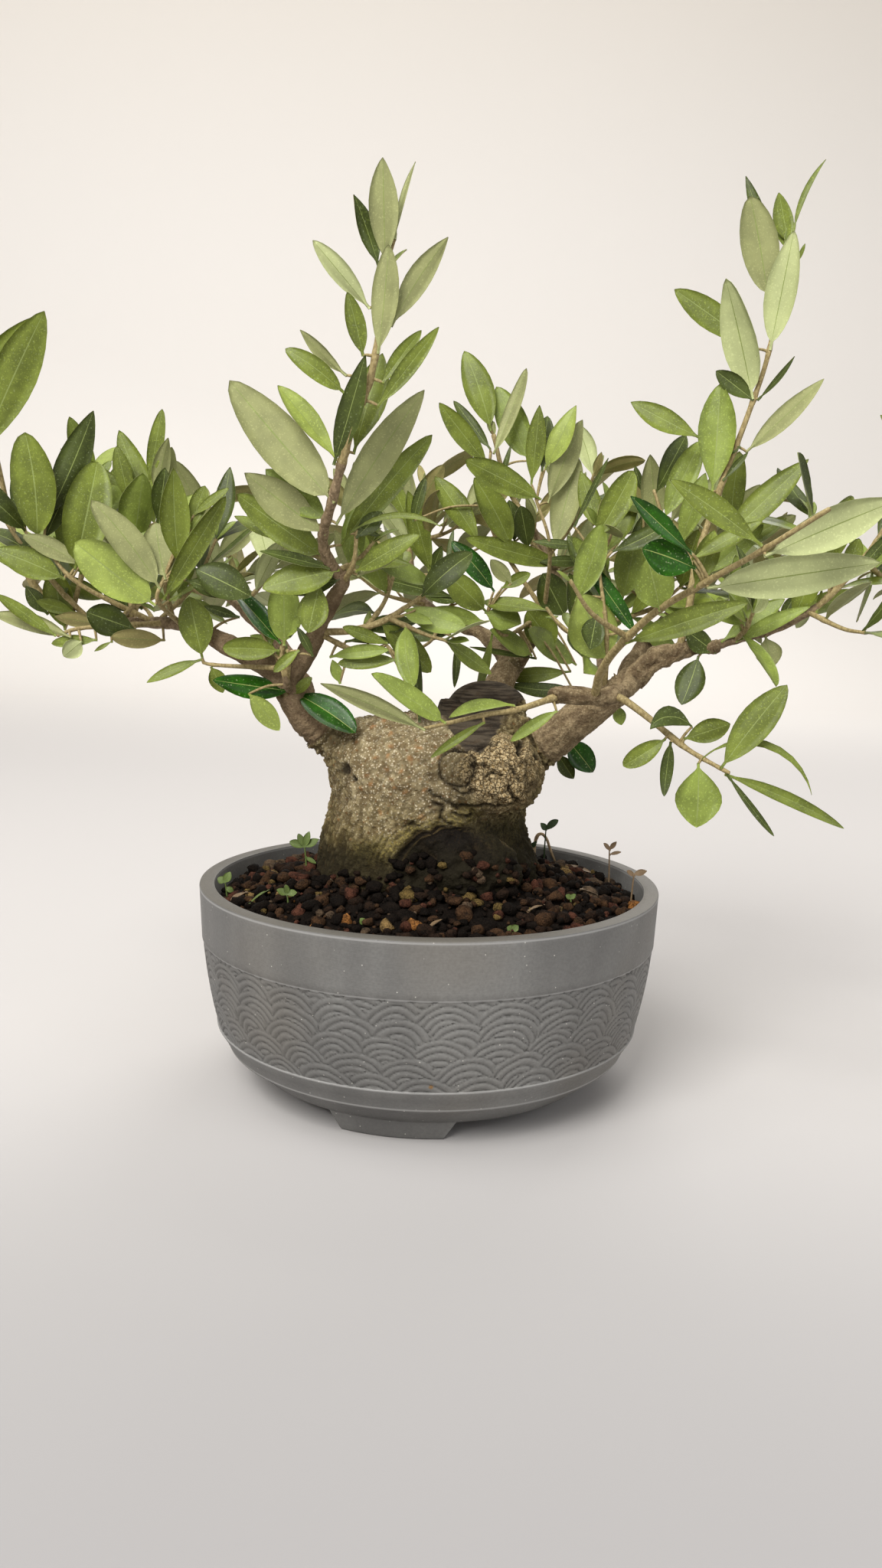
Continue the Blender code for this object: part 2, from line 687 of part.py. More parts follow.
def cut_level(solid, height):
    """Take away what is below a height, and close the cut with a flat face."""
    body = bmesh.new()
    body.from_mesh(solid.data)
    geometry = [*body.verts, *body.edges, *body.faces]
    cut = bmesh.ops.bisect_plane(body, geom=geometry, plane_co=(0, 0, height * MM), plane_no=(0, 0, 1),
                                 clear_inner=True)
    edges = [item for item in cut["geom_cut"] if isinstance(item, bmesh.types.BMEdge)]
    bmesh.ops.holes_fill(body, edges=edges, sides=0)
    bmesh.ops.triangulate(body, faces=body.faces)
    bmesh.ops.recalc_face_normals(body, faces=body.faces)
    body.to_mesh(solid.data)
    body.free()


def taper(route, foot, tip):
    """A radius along a route, from its foot to its tip."""
    def radius_at(distance):
        return foot + (tip - foot) * distance / route.length
    return radius_at


def make_trunk(home, pieces):
    trunk = make_trunk_body(home)
    make_lump("burl", *BURL, pieces)
    make_lump("root_arch", *ROOT_ARCH, pieces)
    stump = Route(smooth(STUMP_ROUTE))
    span_tube("stump", stump, 0, stump.length, taper(stump, *STUMP_RADII), pieces)
    for bough in MAIN_BOUGHS:
        route = Route(smooth(bough.route))
        cut = route.nearest(Vector(bough.cut))
        span_tube(bough.name + "_collar", route, 0, cut, taper(route, *bough.thick), pieces)
    join(trunk, pieces)
    cut_level(trunk, GROUND)
    return trunk


def make_main_bough(bough, home):
    """A main bough runs on from its collar on the trunk to where it enters its mass of leaves."""
    route = Route(smooth(bough.route))
    start = route.nearest(Vector(bough.cut)) + GAP
    return span_tube(bough.name + "_bough", route, start, route.length, taper(route, *bough.thick), home)


def make_limb(limb, parent, home):
    route = Route(smooth(limb.route))
    start = clear_start(route, tree_of(parent), limb.thick[0])
    return span_tube(limb.name, route, start, route.length, taper(route, *limb.thick), home)


def clear_start(route, parent_tree, radius):
    """How far along its route a stem must start for its end disc to stand clear of its parent."""
    distance = 0.0
    while distance < route.length / 2:
        place = route.point(distance)
        tangent = route.tangent(distance)
        side = tangent.orthogonal().normalized()
        spots = [place]
        for turn in range(16):
            spoke = Matrix.Rotation(math.radians(22.5 * turn), 3, tangent) @ (side * radius)
            spots += [place + share * spoke for share in (0.35, 0.7, 1.0)]
        gaps = []
        for spot in spots:
            hit, normal, _, gap = parent_tree.find_nearest(spot * MM)
            inside = (spot * MM - hit).dot(normal) < 0
            gaps.append(-gap if inside else gap)
        if min(gaps) >= GAP * MM:
            return distance
        distance += 0.05
    return distance


def tree_of(solid):
    body = bmesh.new()
    body.from_mesh(solid.data)
    tree = BVHTree.FromBMesh(body)
    body.free()
    return tree


def leaf_direction(clock, lean):
    """A direction read off a clock face seen from the front, leaning towards the viewer."""
    clock = math.radians(clock)
    lean = math.radians(lean)
    return Vector((math.sin(clock) * math.cos(lean), -math.sin(lean), math.cos(clock) * math.cos(lean)))


def leaf_place(foot, direction, face_towards, twist):
    """The frame of a leaf: X along it, Z out of its upper face."""
    along = direction.normalized()
    normal = face_towards - face_towards.dot(along) * along
    if normal.length < 0.05:
        normal = along.orthogonal()
    normal = Matrix.Rotation(twist, 3, along) @ normal.normalized()
    across = normal.cross(along)
    frame = Matrix((along, across, normal)).transposed().to_4x4()
    return Matrix.Translation(foot * MM) @ frame


def leaf_body(length, width, thickness, start=0.0):
    """A slender closed leaf of twelve faces, pointed at both ends, lying along +X from a start."""
    body = bmesh.new()
    point_ahead = Matrix.Rotation(math.radians(90), 4, "Z")
    bmesh.ops.create_uvsphere(body, u_segments=6, v_segments=2, radius=1, matrix=point_ahead)
    for vertex in body.verts:
        if abs(vertex.co.z) > 0.5:
            vertex.co.x = -LEAF_BELLY
        elif abs(vertex.co.y) > 0.5:
            shoulder = LEAF_SHOULDERS[vertex.co.x > 0]
            vertex.co.x = shoulder[0]
            vertex.co.y = math.copysign(shoulder[1], vertex.co.y)
    half = (length - start) / 2
    shape = Matrix.Diagonal((half * MM, width / 2 * MM, thickness / 2 * MM, 1))
    place = Matrix.Translation(((start + half) * MM, 0, 0))
    bmesh.ops.transform(body, matrix=place @ shape, verts=body.verts)
    return body


class Foliage:
    """Keeps what has grown so far, so that a new twig or leaf that would touch something is skipped.

    Finished solids are kept whole. Twigs and leaves of the mass in hand are kept without their
    roots, because leaves that share a twig meet there.
    """

    def __init__(self, limbs):
        self.finished = [tree_of(solid) for solid in limbs]
        self.in_hand = []
        self.slender = 0.0
        self.leaf_count = 0
        self.skipped = 0

    def clear(self, whole, rootless, own):
        if any(whole.overlap(other) for other in self.finished):
            return False
        return not any(other is not own and rootless.overlap(other) for other in self.in_hand)

    def finish(self, solid):
        self.finished.append(tree_of(solid))
        self.in_hand.clear()


def probe_tree(body, place):
    bmesh.ops.transform(body, matrix=place, verts=body.verts)
    tree = BVHTree.FromBMesh(body)
    body.free()
    return tree


def add_leaf(foliage, place, length, own, space, pieces):
    """Fuse one leaf on, if it stays in its mass's space and touches nothing but its own twig."""
    tip = place @ Vector((length * MM, 0, 0))
    low, high = space
    if any(value < limit for value, limit in zip(tip / MM, low)):
        return False
    if any(value > limit for value, limit in zip(tip / MM, high)):
        return False
    width = length * foliage.slender
    probes = []
    for start in (-LEAF_SINK, LEAF_ROOT_SHARE * length):
        probe = leaf_body(length * 1.03, width * PROBE_GROW, PROBE_THICK, start=start)
        probes.append(probe_tree(probe, place))
    whole, rootless = probes
    if not foliage.clear(whole, rootless, own):
        return False
    foliage.in_hand.append(rootless)
    body = leaf_body(length, width, LEAF_THICK, start=-LEAF_SINK)
    bmesh.ops.transform(body, matrix=place, verts=body.verts)
    from_bmesh("leaf", body, pieces)
    foliage.leaf_count += 1
    return True


def face_direction(foot):
    """Blades face up, and out of the front or the back of the crown, whichever is nearer."""
    turn = max(-1.0, min(1.0, (foot.y - CROWN_MIDDLE) / CROWN_BLEND))
    return 0.7 * UP - (0.8 * turn) * FRONT + 0.15 * Vector((math.copysign(1, foot.x), 0, 0))


def grow_ruled_pairs(foliage, rng, route, count, leaf, own, space, pieces, first=0.30):
    """Pairs of leaves along a shoot, each a quarter turn from the last, closing towards its tip."""
    turn = rng.uniform(0, 90)
    for index in range(count):
        share = first + (1 - first) * (index / (count - 1) if count > 1 else 1.0)
        foot = route.point(min(route.length * share, route.length - END_INSET))
        axis = route.tangent(route.length * share)
        opening = 62 - 26 * share
        for side in (0, 180):
            for attempt in range(TRIES):
                roll = math.radians(turn + 90 * index + side + rng.uniform(-14, 14) * (1 + attempt))
                angle = math.radians(opening + rng.uniform(-9, 9) * (1 + attempt))
                sideways = Matrix.Rotation(roll, 3, axis) @ axis.orthogonal().normalized()
                direction = math.cos(angle) * axis + math.sin(angle) * sideways
                length = leaf * rng.uniform(0.86, 1.10) * (1.0 - 0.16 * abs(2 * share - 1.1))
                twist = math.radians(rng.uniform(-28, 28))
                place = leaf_place(foot, direction, face_direction(foot), twist)
                if add_leaf(foliage, place, length, own, space, pieces):
                    break
            else:
                foliage.skipped += 1


def grow_listed_pairs(foliage, rng, route, rows, own, space, pieces):
    """The leaves of a shoot whose pairs are listed one by one."""
    for row in rows:
        foot = route.point(min(route.length * row.at, route.length - END_INSET))
        for leaf in (row.one, row.two):
            if leaf is None:
                continue
            length, clock, lean = leaf
            for attempt in range(TRIES):
                spread = 7 * attempt
                clock_now = clock + rng.uniform(-1, 1) * spread
                direction = leaf_direction(clock_now, lean + rng.uniform(-1, 1) * spread)
                twist = math.radians(rng.uniform(-18, 18))
                place = leaf_place(foot, direction, 0.8 * FRONT + 0.6 * UP, twist)
                if add_leaf(foliage, place, length, own, space, pieces):
                    break
            else:
                foliage.skipped += 1


def shoot_line(stem, shoot, rng, scatter):
    """A shoot leaves its stem outwards, and bends up to its tip."""
    foot = stem.point(stem.length * shoot.at)
    tip = Vector(shoot.tip) + scatter * Vector([rng.uniform(-1, 1) for _ in range(3)])
    reach = tip - foot
    outwards = Vector((reach.x, reach.y, 0.25 * reach.z))
    middle = foot + 0.5 * reach + 0.12 * outwards - 0.06 * reach.length * UP
    return Route(smooth((foot, middle, tip), 5))


def stick(line, start, spacing):
    """The straight pieces that stand for a line from a distance on. The first is square to its foot."""
    steps = max(2, round((line.length - start) / spacing))
    points = [line.point(start + (line.length - start) * step / steps) for step in range(steps + 1)]
    points.insert(1, points[0] + FOOT_PIECE * line.tangent(start))
    return Route(points)


def stick_tube(name, rod, thick, home, section):
    foot, tip = thick
    radii = [foot + (tip - foot) * mark / rod.length for mark in rod.marks]
    return tube(name, rod.points, radii, home, section)


def twig_probe(route, radius, first):
    """A slim tube standing for a twig from a share of its length on, for the touch test."""
    body = bmesh.new()
    distances = [route.length * share for share in (first, (first + 1) / 2, 1.0)]
    for start, end in zip(distances, distances[1:]):
        low = route.point(start)
        high = route.point(end)
        axis = (high - low)
        turn = axis.to_track_quat("Z", "Y").to_matrix().to_4x4()
        place = Matrix.Translation((low + high) / 2 * MM) @ turn
        bmesh.ops.create_cone(body, cap_ends=True, segments=4, radius1=radius * MM, radius2=radius * MM,
                              depth=axis.length * MM, matrix=place)
    tree = BVHTree.FromBMesh(body)
    body.free()
    return tree


def mass_space(mass):
    """The box that a mass keeps to: its stem and the tips of its shoots, and a leaf's length round them."""
    places = [Vector(place) for place in mass.route] + [Vector(shoot.tip) for shoot in mass.shoots]
    low = [min(place[axis] for place in places) - SPACE_MARGIN for axis in range(3)]
    high = [max(place[axis] for place in places) + SPACE_MARGIN for axis in range(3)]
    return low, high


def grow_mass(mass, foliage, parent, home, section):
    """One mass: a stem, the shoots that branch from it, and their leaves, joined into one solid."""
    rng = random.Random(mass.seed)
    foliage.slender = mass.slender
    line = Route(smooth(mass.route))
    start = clear_start(line, tree_of(parent), mass.thick[0])
    stem = stick(line, start, STEM_SPACING)
    solid = stick_tube(mass.name, stem, mass.thick, home, section)
    pieces = bpy.data.collections.new(mass.name + "_pieces")
    bpy.context.scene.collection.children.link(pieces)
    space = mass_space(mass)
    own = tree_of(solid)
    foliage.in_hand.append(own)
    grow_listed_pairs(foliage, rng, stem, mass.rows, own, space, pieces)
    if mass.pairs:
        grow_ruled_pairs(foliage, rng, stem, mass.pairs, mass.leaf, own, space, pieces, first=0.35)
    for shoot in mass.shoots:
        for attempt in range(TRIES):
            twig = stick(shoot_line(stem, shoot, rng, 5 * attempt), 0, TWIG_SPACING)
            whole = twig_probe(twig, TWIG_THICK[0] * PROBE_GROW, 0)
            rootless = twig_probe(twig, TWIG_THICK[0] * PROBE_GROW, TWIG_ROOT_SHARE)
            if foliage.clear(whole, rootless, own):
                break
        else:
            print(f"{mass.name}: shoot at {shoot.at} touches something and is skipped")
            continue
        stick_tube("twig", twig, TWIG_THICK, pieces, section)
        foliage.in_hand.append(rootless)
        grow_ruled_pairs(foliage, rng, twig, shoot.pairs, shoot.leaf, rootless, space, pieces)
    join(solid, pieces)
    foliage.finish(solid)
    return solid


def give(solid, material):
    solid.data.materials.clear()
    solid.data.materials.append(material)


def shade(solid):
    solid.data.shade_smooth()
    solid.data.set_sharp_from_angle(angle=math.radians(35))


def stand_on_origin(solids):
    """Shift the whole plant, through its root, so that the middle of its footprint is at the origin."""
    depsgraph = bpy.context.evaluated_depsgraph_get()
    low = Vector((math.inf,) * 3)
    high = Vector((-math.inf,) * 3)
    for solid in solids:
        mesh = solid.evaluated_get(depsgraph).to_mesh()
        for vertex in mesh.vertices:
            low = Vector(map(min, low, vertex.co))
            high = Vector(map(max, high, vertex.co))
    root = bpy.data.objects.new("olive_bonsai_root", None)
    bpy.context.scene.collection.objects.link(root)
    for solid in solids:
        solid.parent = root
    root.location = (-(low.x + high.x) / 2, -(low.y + high.y) / 2, -low.z)
    print("size in mm:", [round(value / MM, 1) for value in high - low])
    print("root shift in mm:", [round(value / MM, 2) for value in root.location])


def new_pieces(name):
    pieces = bpy.data.collections.new(name)
    bpy.context.scene.collection.children.link(pieces)
    return pieces


def main():
    for leftover in list(bpy.data.objects):
        bpy.data.objects.remove(leftover)
    home = bpy.data.collections.new("olive_bonsai")
    bpy.context.scene.collection.children.link(home)
    section = triangle_section()

    pot = make_pot(home, new_pieces("pot_pieces"))
    soil = make_soil(home)
    trunk = make_trunk(home, new_pieces("trunk_pieces"))
    wood = {bough.name + "_bough": make_main_bough(bough, home) for bough in MAIN_BOUGHS}
    for limb in LIMBS:
        wood[limb.name] = make_limb(limb, wood[limb.parent], home)

    foliage = Foliage([pot, trunk, *wood.values()])
    masses = [grow_mass(mass, foliage, wood[mass.parent], home, section) for mass in MASSES]
    bpy.data.objects.remove(section)

    give(pot, principled("pot_plastic", POT_GREY, 0.55))
    give(soil, principled("lava_soil", SOIL_BROWN, 0.95))
    give(trunk, principled("trunk_bark", BARK, 0.9))
    bough_bark = principled("bough_bark", BOUGH_BARK, 0.85)
    for solid in wood.values():
        give(solid, bough_bark)
    leaf_green = principled("olive_leaf", LEAF_GREEN, 0.5)
    for solid in masses:
        give(solid, leaf_green)
    for solid in (pot, trunk, *wood.values()):
        shade(solid)
    stand_on_origin([pot, soil, trunk, *wood.values(), *masses])
    faces = sum(len(solid.data.polygons) for solid in (trunk, pot, *wood.values(), *masses))
    print(f"{foliage.leaf_count} leaves, {foliage.skipped} skipped, {faces} faces")


main()
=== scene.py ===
# %% [markdown]
# This lesson dresses an olive bonsai in a printed bowl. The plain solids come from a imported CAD
# model, and this script grows bark, leaves, soil and the pot's relief round them, in metres and
# in the same places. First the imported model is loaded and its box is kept, because the finished
# plant has to stay as large as the solids say.

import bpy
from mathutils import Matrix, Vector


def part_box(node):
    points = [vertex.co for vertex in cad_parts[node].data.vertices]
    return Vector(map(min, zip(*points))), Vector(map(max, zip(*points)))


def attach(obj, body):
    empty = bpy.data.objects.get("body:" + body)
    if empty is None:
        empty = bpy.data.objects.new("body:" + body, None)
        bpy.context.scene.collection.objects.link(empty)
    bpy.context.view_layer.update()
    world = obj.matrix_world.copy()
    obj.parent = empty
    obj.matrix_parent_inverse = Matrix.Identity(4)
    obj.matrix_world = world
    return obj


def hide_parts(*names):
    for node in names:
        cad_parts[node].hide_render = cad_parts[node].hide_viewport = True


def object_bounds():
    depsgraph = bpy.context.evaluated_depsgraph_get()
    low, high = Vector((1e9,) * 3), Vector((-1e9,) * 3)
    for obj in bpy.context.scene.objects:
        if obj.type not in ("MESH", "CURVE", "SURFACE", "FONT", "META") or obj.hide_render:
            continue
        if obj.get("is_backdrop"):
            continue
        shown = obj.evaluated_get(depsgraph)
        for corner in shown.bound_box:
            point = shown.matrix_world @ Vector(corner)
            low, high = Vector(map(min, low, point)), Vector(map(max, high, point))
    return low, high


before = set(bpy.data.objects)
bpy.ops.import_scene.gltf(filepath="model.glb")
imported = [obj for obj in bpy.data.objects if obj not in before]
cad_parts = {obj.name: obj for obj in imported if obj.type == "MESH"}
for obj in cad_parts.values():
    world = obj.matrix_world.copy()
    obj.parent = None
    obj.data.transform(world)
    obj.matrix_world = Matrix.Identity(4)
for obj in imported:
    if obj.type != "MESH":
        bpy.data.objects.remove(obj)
cad_low, cad_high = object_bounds()
print("solids:", len(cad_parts), "box in mm:", [round(side * 1000, 1) for side in cad_high - cad_low])

# %% [markdown]
# Everything below is worked out in millimetres from the pot's axis and the bottom of its feet,
# as the solids were. Each piece becomes an object that stands on that axis, so its own
# coordinates stay in those handy numbers. The middle of the pot's box tells where the axis is.

# %% Units and the pot's axis
import math
import random
from collections import namedtuple

import bmesh
import bpy
import numpy as np
from mathutils import Matrix, Vector
from mathutils.bvhtree import BVHTree
from mathutils.kdtree import KDTree

MM = 0.001
UP = Vector((0, 0, 1))
FRONT = Vector((0, -1, 0))


def add_object(name, data):
    """A new object in the scene."""
    added = bpy.data.objects.new(name, data)
    bpy.context.scene.collection.objects.link(added)
    return added


pot_low, pot_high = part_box("pot")
pot_axis = Vector(((pot_low.x + pot_high.x) / 2, (pot_low.y + pot_high.y) / 2, 0))
print("pot axis in mm:", [round(value / MM, 2) for value in pot_axis])

# %% [markdown]
# The camera stands where the photograph was taken from: a wide phone lens, close to the plant,
# looking a little down and rolled a little. The same numbers also turn a spot in the photograph
# into a ray, so a knot or a seedling can be set on the surface that shows there.

# %% Camera and rays through the photograph
PHOTO_SIZE = (1152, 2048)
LENS = 26.0
SENSOR = 36.0
FOCUS = LENS / SENSOR * PHOTO_SIZE[1]
CAMERA_PLACE = Vector((0, -383.1, 157.6))
PITCH = math.radians(8.42)
YAW = math.radians(0.46)
ROLL = math.radians(1.47)

look = Vector((math.sin(YAW) * math.cos(PITCH), math.cos(YAW) * math.cos(PITCH), -math.sin(PITCH)))
level_right = Vector((math.cos(YAW), -math.sin(YAW), 0))
level_up = level_right.cross(look)
camera_right = math.cos(ROLL) * level_right + math.sin(ROLL) * level_up
camera_up = math.cos(ROLL) * level_up - math.sin(ROLL) * level_right


def photo_ray(across, down):
    """The direction from the camera through a spot of the photograph, in its pixels."""
    sideways = (across - PHOTO_SIZE[0] / 2) / FOCUS
    upwards = (PHOTO_SIZE[1] / 2 - down) / FOCUS
    return (look + sideways * camera_right + upwards * camera_up).normalized()


camera_data = bpy.data.cameras.new("photo_camera")
camera_data.lens = LENS
camera_data.sensor_width = SENSOR
camera_data.clip_start = 0.01
camera_data.clip_end = 30
camera = add_object("photo_camera", camera_data)
camera_turn = Matrix((camera_right, camera_up, -look)).transposed().to_4x4()
camera.matrix_world = Matrix.Translation(CAMERA_PLACE * MM + pot_axis) @ camera_turn
bpy.context.scene.camera = camera
print("camera at", [round(value, 3) for value in camera.location])

# %% [markdown]
# Materials are written as sums. A Wire holds one socket, and adding or multiplying Wires adds
# the Math nodes, so a mask reads like a formula. Every other node comes from one method, which
# takes the node's type, its settings and its inputs. Colours are given as they look on screen,
# from 0 to 255, and turned into the linear light that Blender works with.

# %% Wires and finishes
def tint(red, green, blue):
    """A colour as it looks on screen, from 0 to 255, as linear light with full cover."""
    linear = []
    for value in (red, green, blue):
        share = value / 255
        linear.append(share / 12.92 if share <= 0.04045 else ((share + 0.055) / 1.055) ** 2.4)
    return (*linear, 1.0)


class Wire:
    """A socket that works in Python sums: each sum adds its Math node."""

    def __init__(self, finish, socket):
        self.finish = finish
        self.socket = socket

    def sum(self, operation, first, second):
        return self.finish.node("Math", {"operation": operation}, {0: first, 1: second})

    def __add__(self, other):
        return self.sum("ADD", self, other)

    def __sub__(self, other):
        return self.sum("SUBTRACT", self, other)

    def __rsub__(self, other):
        return self.sum("SUBTRACT", other, self)

    def __mul__(self, other):
        return self.sum("MULTIPLY", self, other)

    __radd__ = __add__
    __rmul__ = __mul__

    def step(self, low, high):
        """0 where the value is at low, 1 where it is at high, and smooth between."""
        inputs = {"Value": self, "From Min": low, "From Max": high}
        return self.finish.node("MapRange", {"interpolation_type": "SMOOTHSTEP"}, inputs)


class Finish:
    """A material that grows node by node."""

    def __init__(self, name, roughness, **constants):
        self.material = bpy.data.materials.new(name)
        self.material.use_nodes = True
        self.tree = self.material.node_tree
        self.shader = self.tree.nodes["Principled BSDF"]
        self.shader.inputs["Roughness"].default_value = roughness
        for socket, value in constants.items():
            self.shader.inputs[socket.replace("_", " ")].default_value = value

    def node(self, kind, settings=None, inputs=None, output=0):
        node = self.tree.nodes.new("ShaderNode" + kind)
        for name, value in (settings or {}).items():
            setattr(node, name, value)
        for name, value in (inputs or {}).items():
            if isinstance(value, Wire):
                self.tree.links.new(value.socket, node.inputs[name])
            else:
                node.inputs[name].default_value = value
        return Wire(self, node.outputs[output])

    def place(self, squeeze=(1, 1, 1)):
        """Where a point of the surface is, in millimetres, with each axis squeezed as given."""
        metres = self.node("TexCoord", output="Object")
        scale = tuple(value / MM for value in squeeze)
        return self.node("VectorMath", {"operation": "MULTIPLY"}, {0: metres, 1: scale})

    def bent_place(self, size, reach):
        """The place in millimetres, pushed about by soft noise, so that patterns on it look grown."""
        noise = self.node("TexNoise", {"normalize": True}, {"Vector": self.place(), "Scale": 1 / size}, 1)
        push = self.node("VectorMath", {"operation": "SUBTRACT"}, {0: noise, 1: (0.5, 0.5, 0.5)})
        push = self.node("VectorMath", {"operation": "SCALE"}, {0: push, "Scale": 2 * reach})
        return self.node("VectorMath", {"operation": "ADD"}, {0: self.place(), 1: push})

    def noise(self, size, place=None, detail=3.0, roughness=0.55):
        """Soft noise from 0 to 1 whose bumps are about a size in millimetres across."""
        inputs = {"Vector": place or self.place(), "Scale": 1 / size}
        inputs.update(Detail=detail, Roughness=roughness)
        return self.node("TexNoise", {"normalize": True}, inputs)

    def cells(self, size, place=None, feature="F1", output="Distance"):
        inputs = {"Vector": place or self.place(), "Scale": 1 / size}
        return self.node("TexVoronoi", {"feature": feature}, inputs, output)

    def attribute(self, name):
        return self.node("Attribute", {"attribute_name": name}, output="Fac")

    def blend(self, share, start, end):
        """A colour between two, each a Wire or a shade from 0 to 255, through a Mix node."""
        start, end = [tint(*shade) if isinstance(shade, tuple) else shade for shade in (start, end)]
        settings = {"data_type": "RGBA", "clamp_factor": True}
        return self.node("Mix", settings, {0: share, 6: start, 7: end}, 2)

    def lay(self, share, shade):
        """Another shade over the tone so far, by a share."""
        self.tone = self.blend(share, self.tone, shade)

    def paint(self):
        self.tree.links.new(self.tone.socket, self.shader.inputs["Base Color"])

    def gloss(self, value):
        self.tree.links.new(value.socket, self.shader.inputs["Roughness"])

    def bump(self, height, depth, under=None):
        """Relief of a depth in millimetres, on top of other relief if there is some."""
        inputs = {"Height": height, "Distance": depth * MM, "Strength": 1.0}
        if under:
            inputs["Normal"] = under
        relief = self.node("Bump", {}, inputs)
        self.tree.links.new(relief.socket, self.shader.inputs["Normal"])
        return relief


# %% [markdown]
# Meshes are made from arrays of points, which is quick for many leaves or a fine relief. Helpers turn points
# in millimetres and blocks of faces into a piece that stands on the pot's axis and rides on the plant's one
# body, give it its finishes, and hide the solids that it stands for.

# %% Pieces from arrays
def make_mesh(name, points, blocks):
    """A mesh from points in mm and blocks of faces, each an array of triangles or of quads."""
    mesh = bpy.data.meshes.new(name)
    mesh.vertices.add(len(points))
    mesh.vertices.foreach_set("co", (np.asarray(points) * MM).astype(np.float32).ravel())
    corners = np.concatenate([np.asarray(block).ravel() for block in blocks]).astype(np.int32)
    sizes = np.concatenate([np.full(len(block), np.asarray(block).shape[1]) for block in blocks])
    mesh.loops.add(len(corners))
    mesh.loops.foreach_set("vertex_index", corners)
    mesh.polygons.add(len(sizes))
    mesh.polygons.foreach_set("loop_start", (np.cumsum(sizes) - sizes).astype(np.int32))
    mesh.update(calc_edges=True)
    mesh.shade_smooth()
    return mesh


def give_finishes(mesh, finishes, choice=None):
    for finish in finishes:
        mesh.materials.append(finish.material)
    if choice is not None:
        mesh.polygons.foreach_set("material_index", np.asarray(choice, np.int32))


def give_values(mesh, name, values):
    """A value for every point of a mesh, which its finish can read by name."""
    mesh.attributes.new(name, "FLOAT", "POINT").data.foreach_set("value", values.astype(np.float32))


def set_piece(mesh, replaces=()):
    """An object for a mesh, on the pot's axis and on the plant's body."""
    piece = add_object(mesh.name, mesh)
    piece.location = pot_axis
    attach(piece, "root")
    if replaces:
        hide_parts(*replaces)
    faces = sum(len(polygon.vertices) - 2 for polygon in mesh.polygons)
    print(f"{piece.name}: {faces} triangles")


# %% [markdown]
# The plant stands on a pale floor that curves up far behind it into a pale wall. Light comes from
# a large soft panel at the upper left, as in the photograph, with weaker panels on the right and
# behind, so shadows stay soft and every side can be seen.

# %% Floor, wall and soft light
SWEEP_WIDTH = 9000.0
SWEEP_FRONT = -4500.0
SWEEP_BACK = 2600.0
SWEEP_BEND = 900.0
WALL_TOP = 4200.0
BEND_STEPS = 12
NEAR_FLOOR_PAINTED_SHADE = (149, 147, 147)
FLOOR_SHADE = (183, 180, 178)
WALL_SHADE = (242, 238, 233)
WALL_TOP_PAINTED_SHADE = (226, 218, 206)


def make_sweep():
    """The floor's outline from the front, up its bend, to the top of the wall, as a wide sheet."""
    outline = [(SWEEP_FRONT, 0.0)]
    for step in range(BEND_STEPS + 1):
        angle = math.pi / 2 * step / BEND_STEPS
        outline.append((SWEEP_BACK - SWEEP_BEND * (1 - math.sin(angle)),
                        SWEEP_BEND * (1 - math.cos(angle))))
    outline.append((SWEEP_BACK, WALL_TOP))
    points = [(side * SWEEP_WIDTH / 2, along, height) for along, height in outline for side in (-1, 1)]
    faces = np.array([(2 * row, 2 * row + 1, 2 * row + 3, 2 * row + 2) for row in range(len(outline) - 1)])
    mesh = make_mesh("floor_and_wall", points, [faces])
    add_object("floor_and_wall", mesh)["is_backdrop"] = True
    paper = Finish("pale_paper", 0.95, Specular_IOR_Level=0.1)
    behind = paper.node("SeparateXYZ", inputs={0: paper.place()}, output="Y")
    above = paper.node("SeparateXYZ", inputs={0: paper.place()}, output="Z")
    # Painted shade: the floor is darker near the front and the wall darker towards its top.
    paper.tone = paper.blend(behind.step(-260.0, 60.0), NEAR_FLOOR_PAINTED_SHADE, FLOOR_SHADE)
    for near, far in ((700.0, 2600.0), (-500.0, -1500.0)):
        paper.lay(behind.step(near, far), WALL_SHADE)
    paper.lay(above.step(900.0, 2400.0), WALL_TOP_PAINTED_SHADE)
    paper.paint()
    give_finishes(mesh, [paper])


def add_panel(name, place, aim, size, power, colour):
    """A square soft light at a place in mm that points at another."""
    data = bpy.data.lights.new(name, "AREA")
    data.size = size * MM
    data.energy = power
    data.color = colour
    panel = add_object(name, data)
    panel.location = Vector(place) * MM
    panel.rotation_euler = (Vector(aim) - Vector(place)).to_track_quat("-Z", "Y").to_euler()


make_sweep()
PLANT_MIDDLE = (0, 0, 140)
add_panel("key_panel", (-620, -1150, 1280), PLANT_MIDDLE, 950, 40, (1.0, 0.985, 0.96))
add_panel("right_panel", (1300, -700, 600), PLANT_MIDDLE, 1100, 7, (0.97, 0.98, 1.0))
add_panel("back_panel", (500, 1400, 1500), PLANT_MIDDLE, 1200, 20, (1.0, 0.99, 0.97))
add_panel("wall_panel", (-1100, -200, 3300), (-100, SWEEP_BACK, 700), 2200, 52, (1.0, 0.99, 0.98))
world = bpy.data.worlds.new("soft_room")
bpy.context.scene.world = world
world.use_nodes = True
world.node_tree.nodes["Background"].inputs["Color"].default_value = tint(236, 234, 232)
world.node_tree.nodes["Background"].inputs["Strength"].default_value = 0.5
bpy.context.scene.view_settings.view_transform = "Standard"
print("panels:", [light.name for light in bpy.data.lights])

# %% [markdown]
# The pot is a printed bowl: a flat rim, a smooth upper band, a wide band of overlapping wave
# fans, a narrow smooth band, a chamfer and three feet. A lathe in numpy gives it, ring by ring.
# The wave band has four times as many points round it as the rest, because the fans are real
# relief and not a bump: each fan is painted over the ones behind it, like roof tiles, and its
# ridges are rounded with narrow grooves between, a little uneven, as if carved by hand.

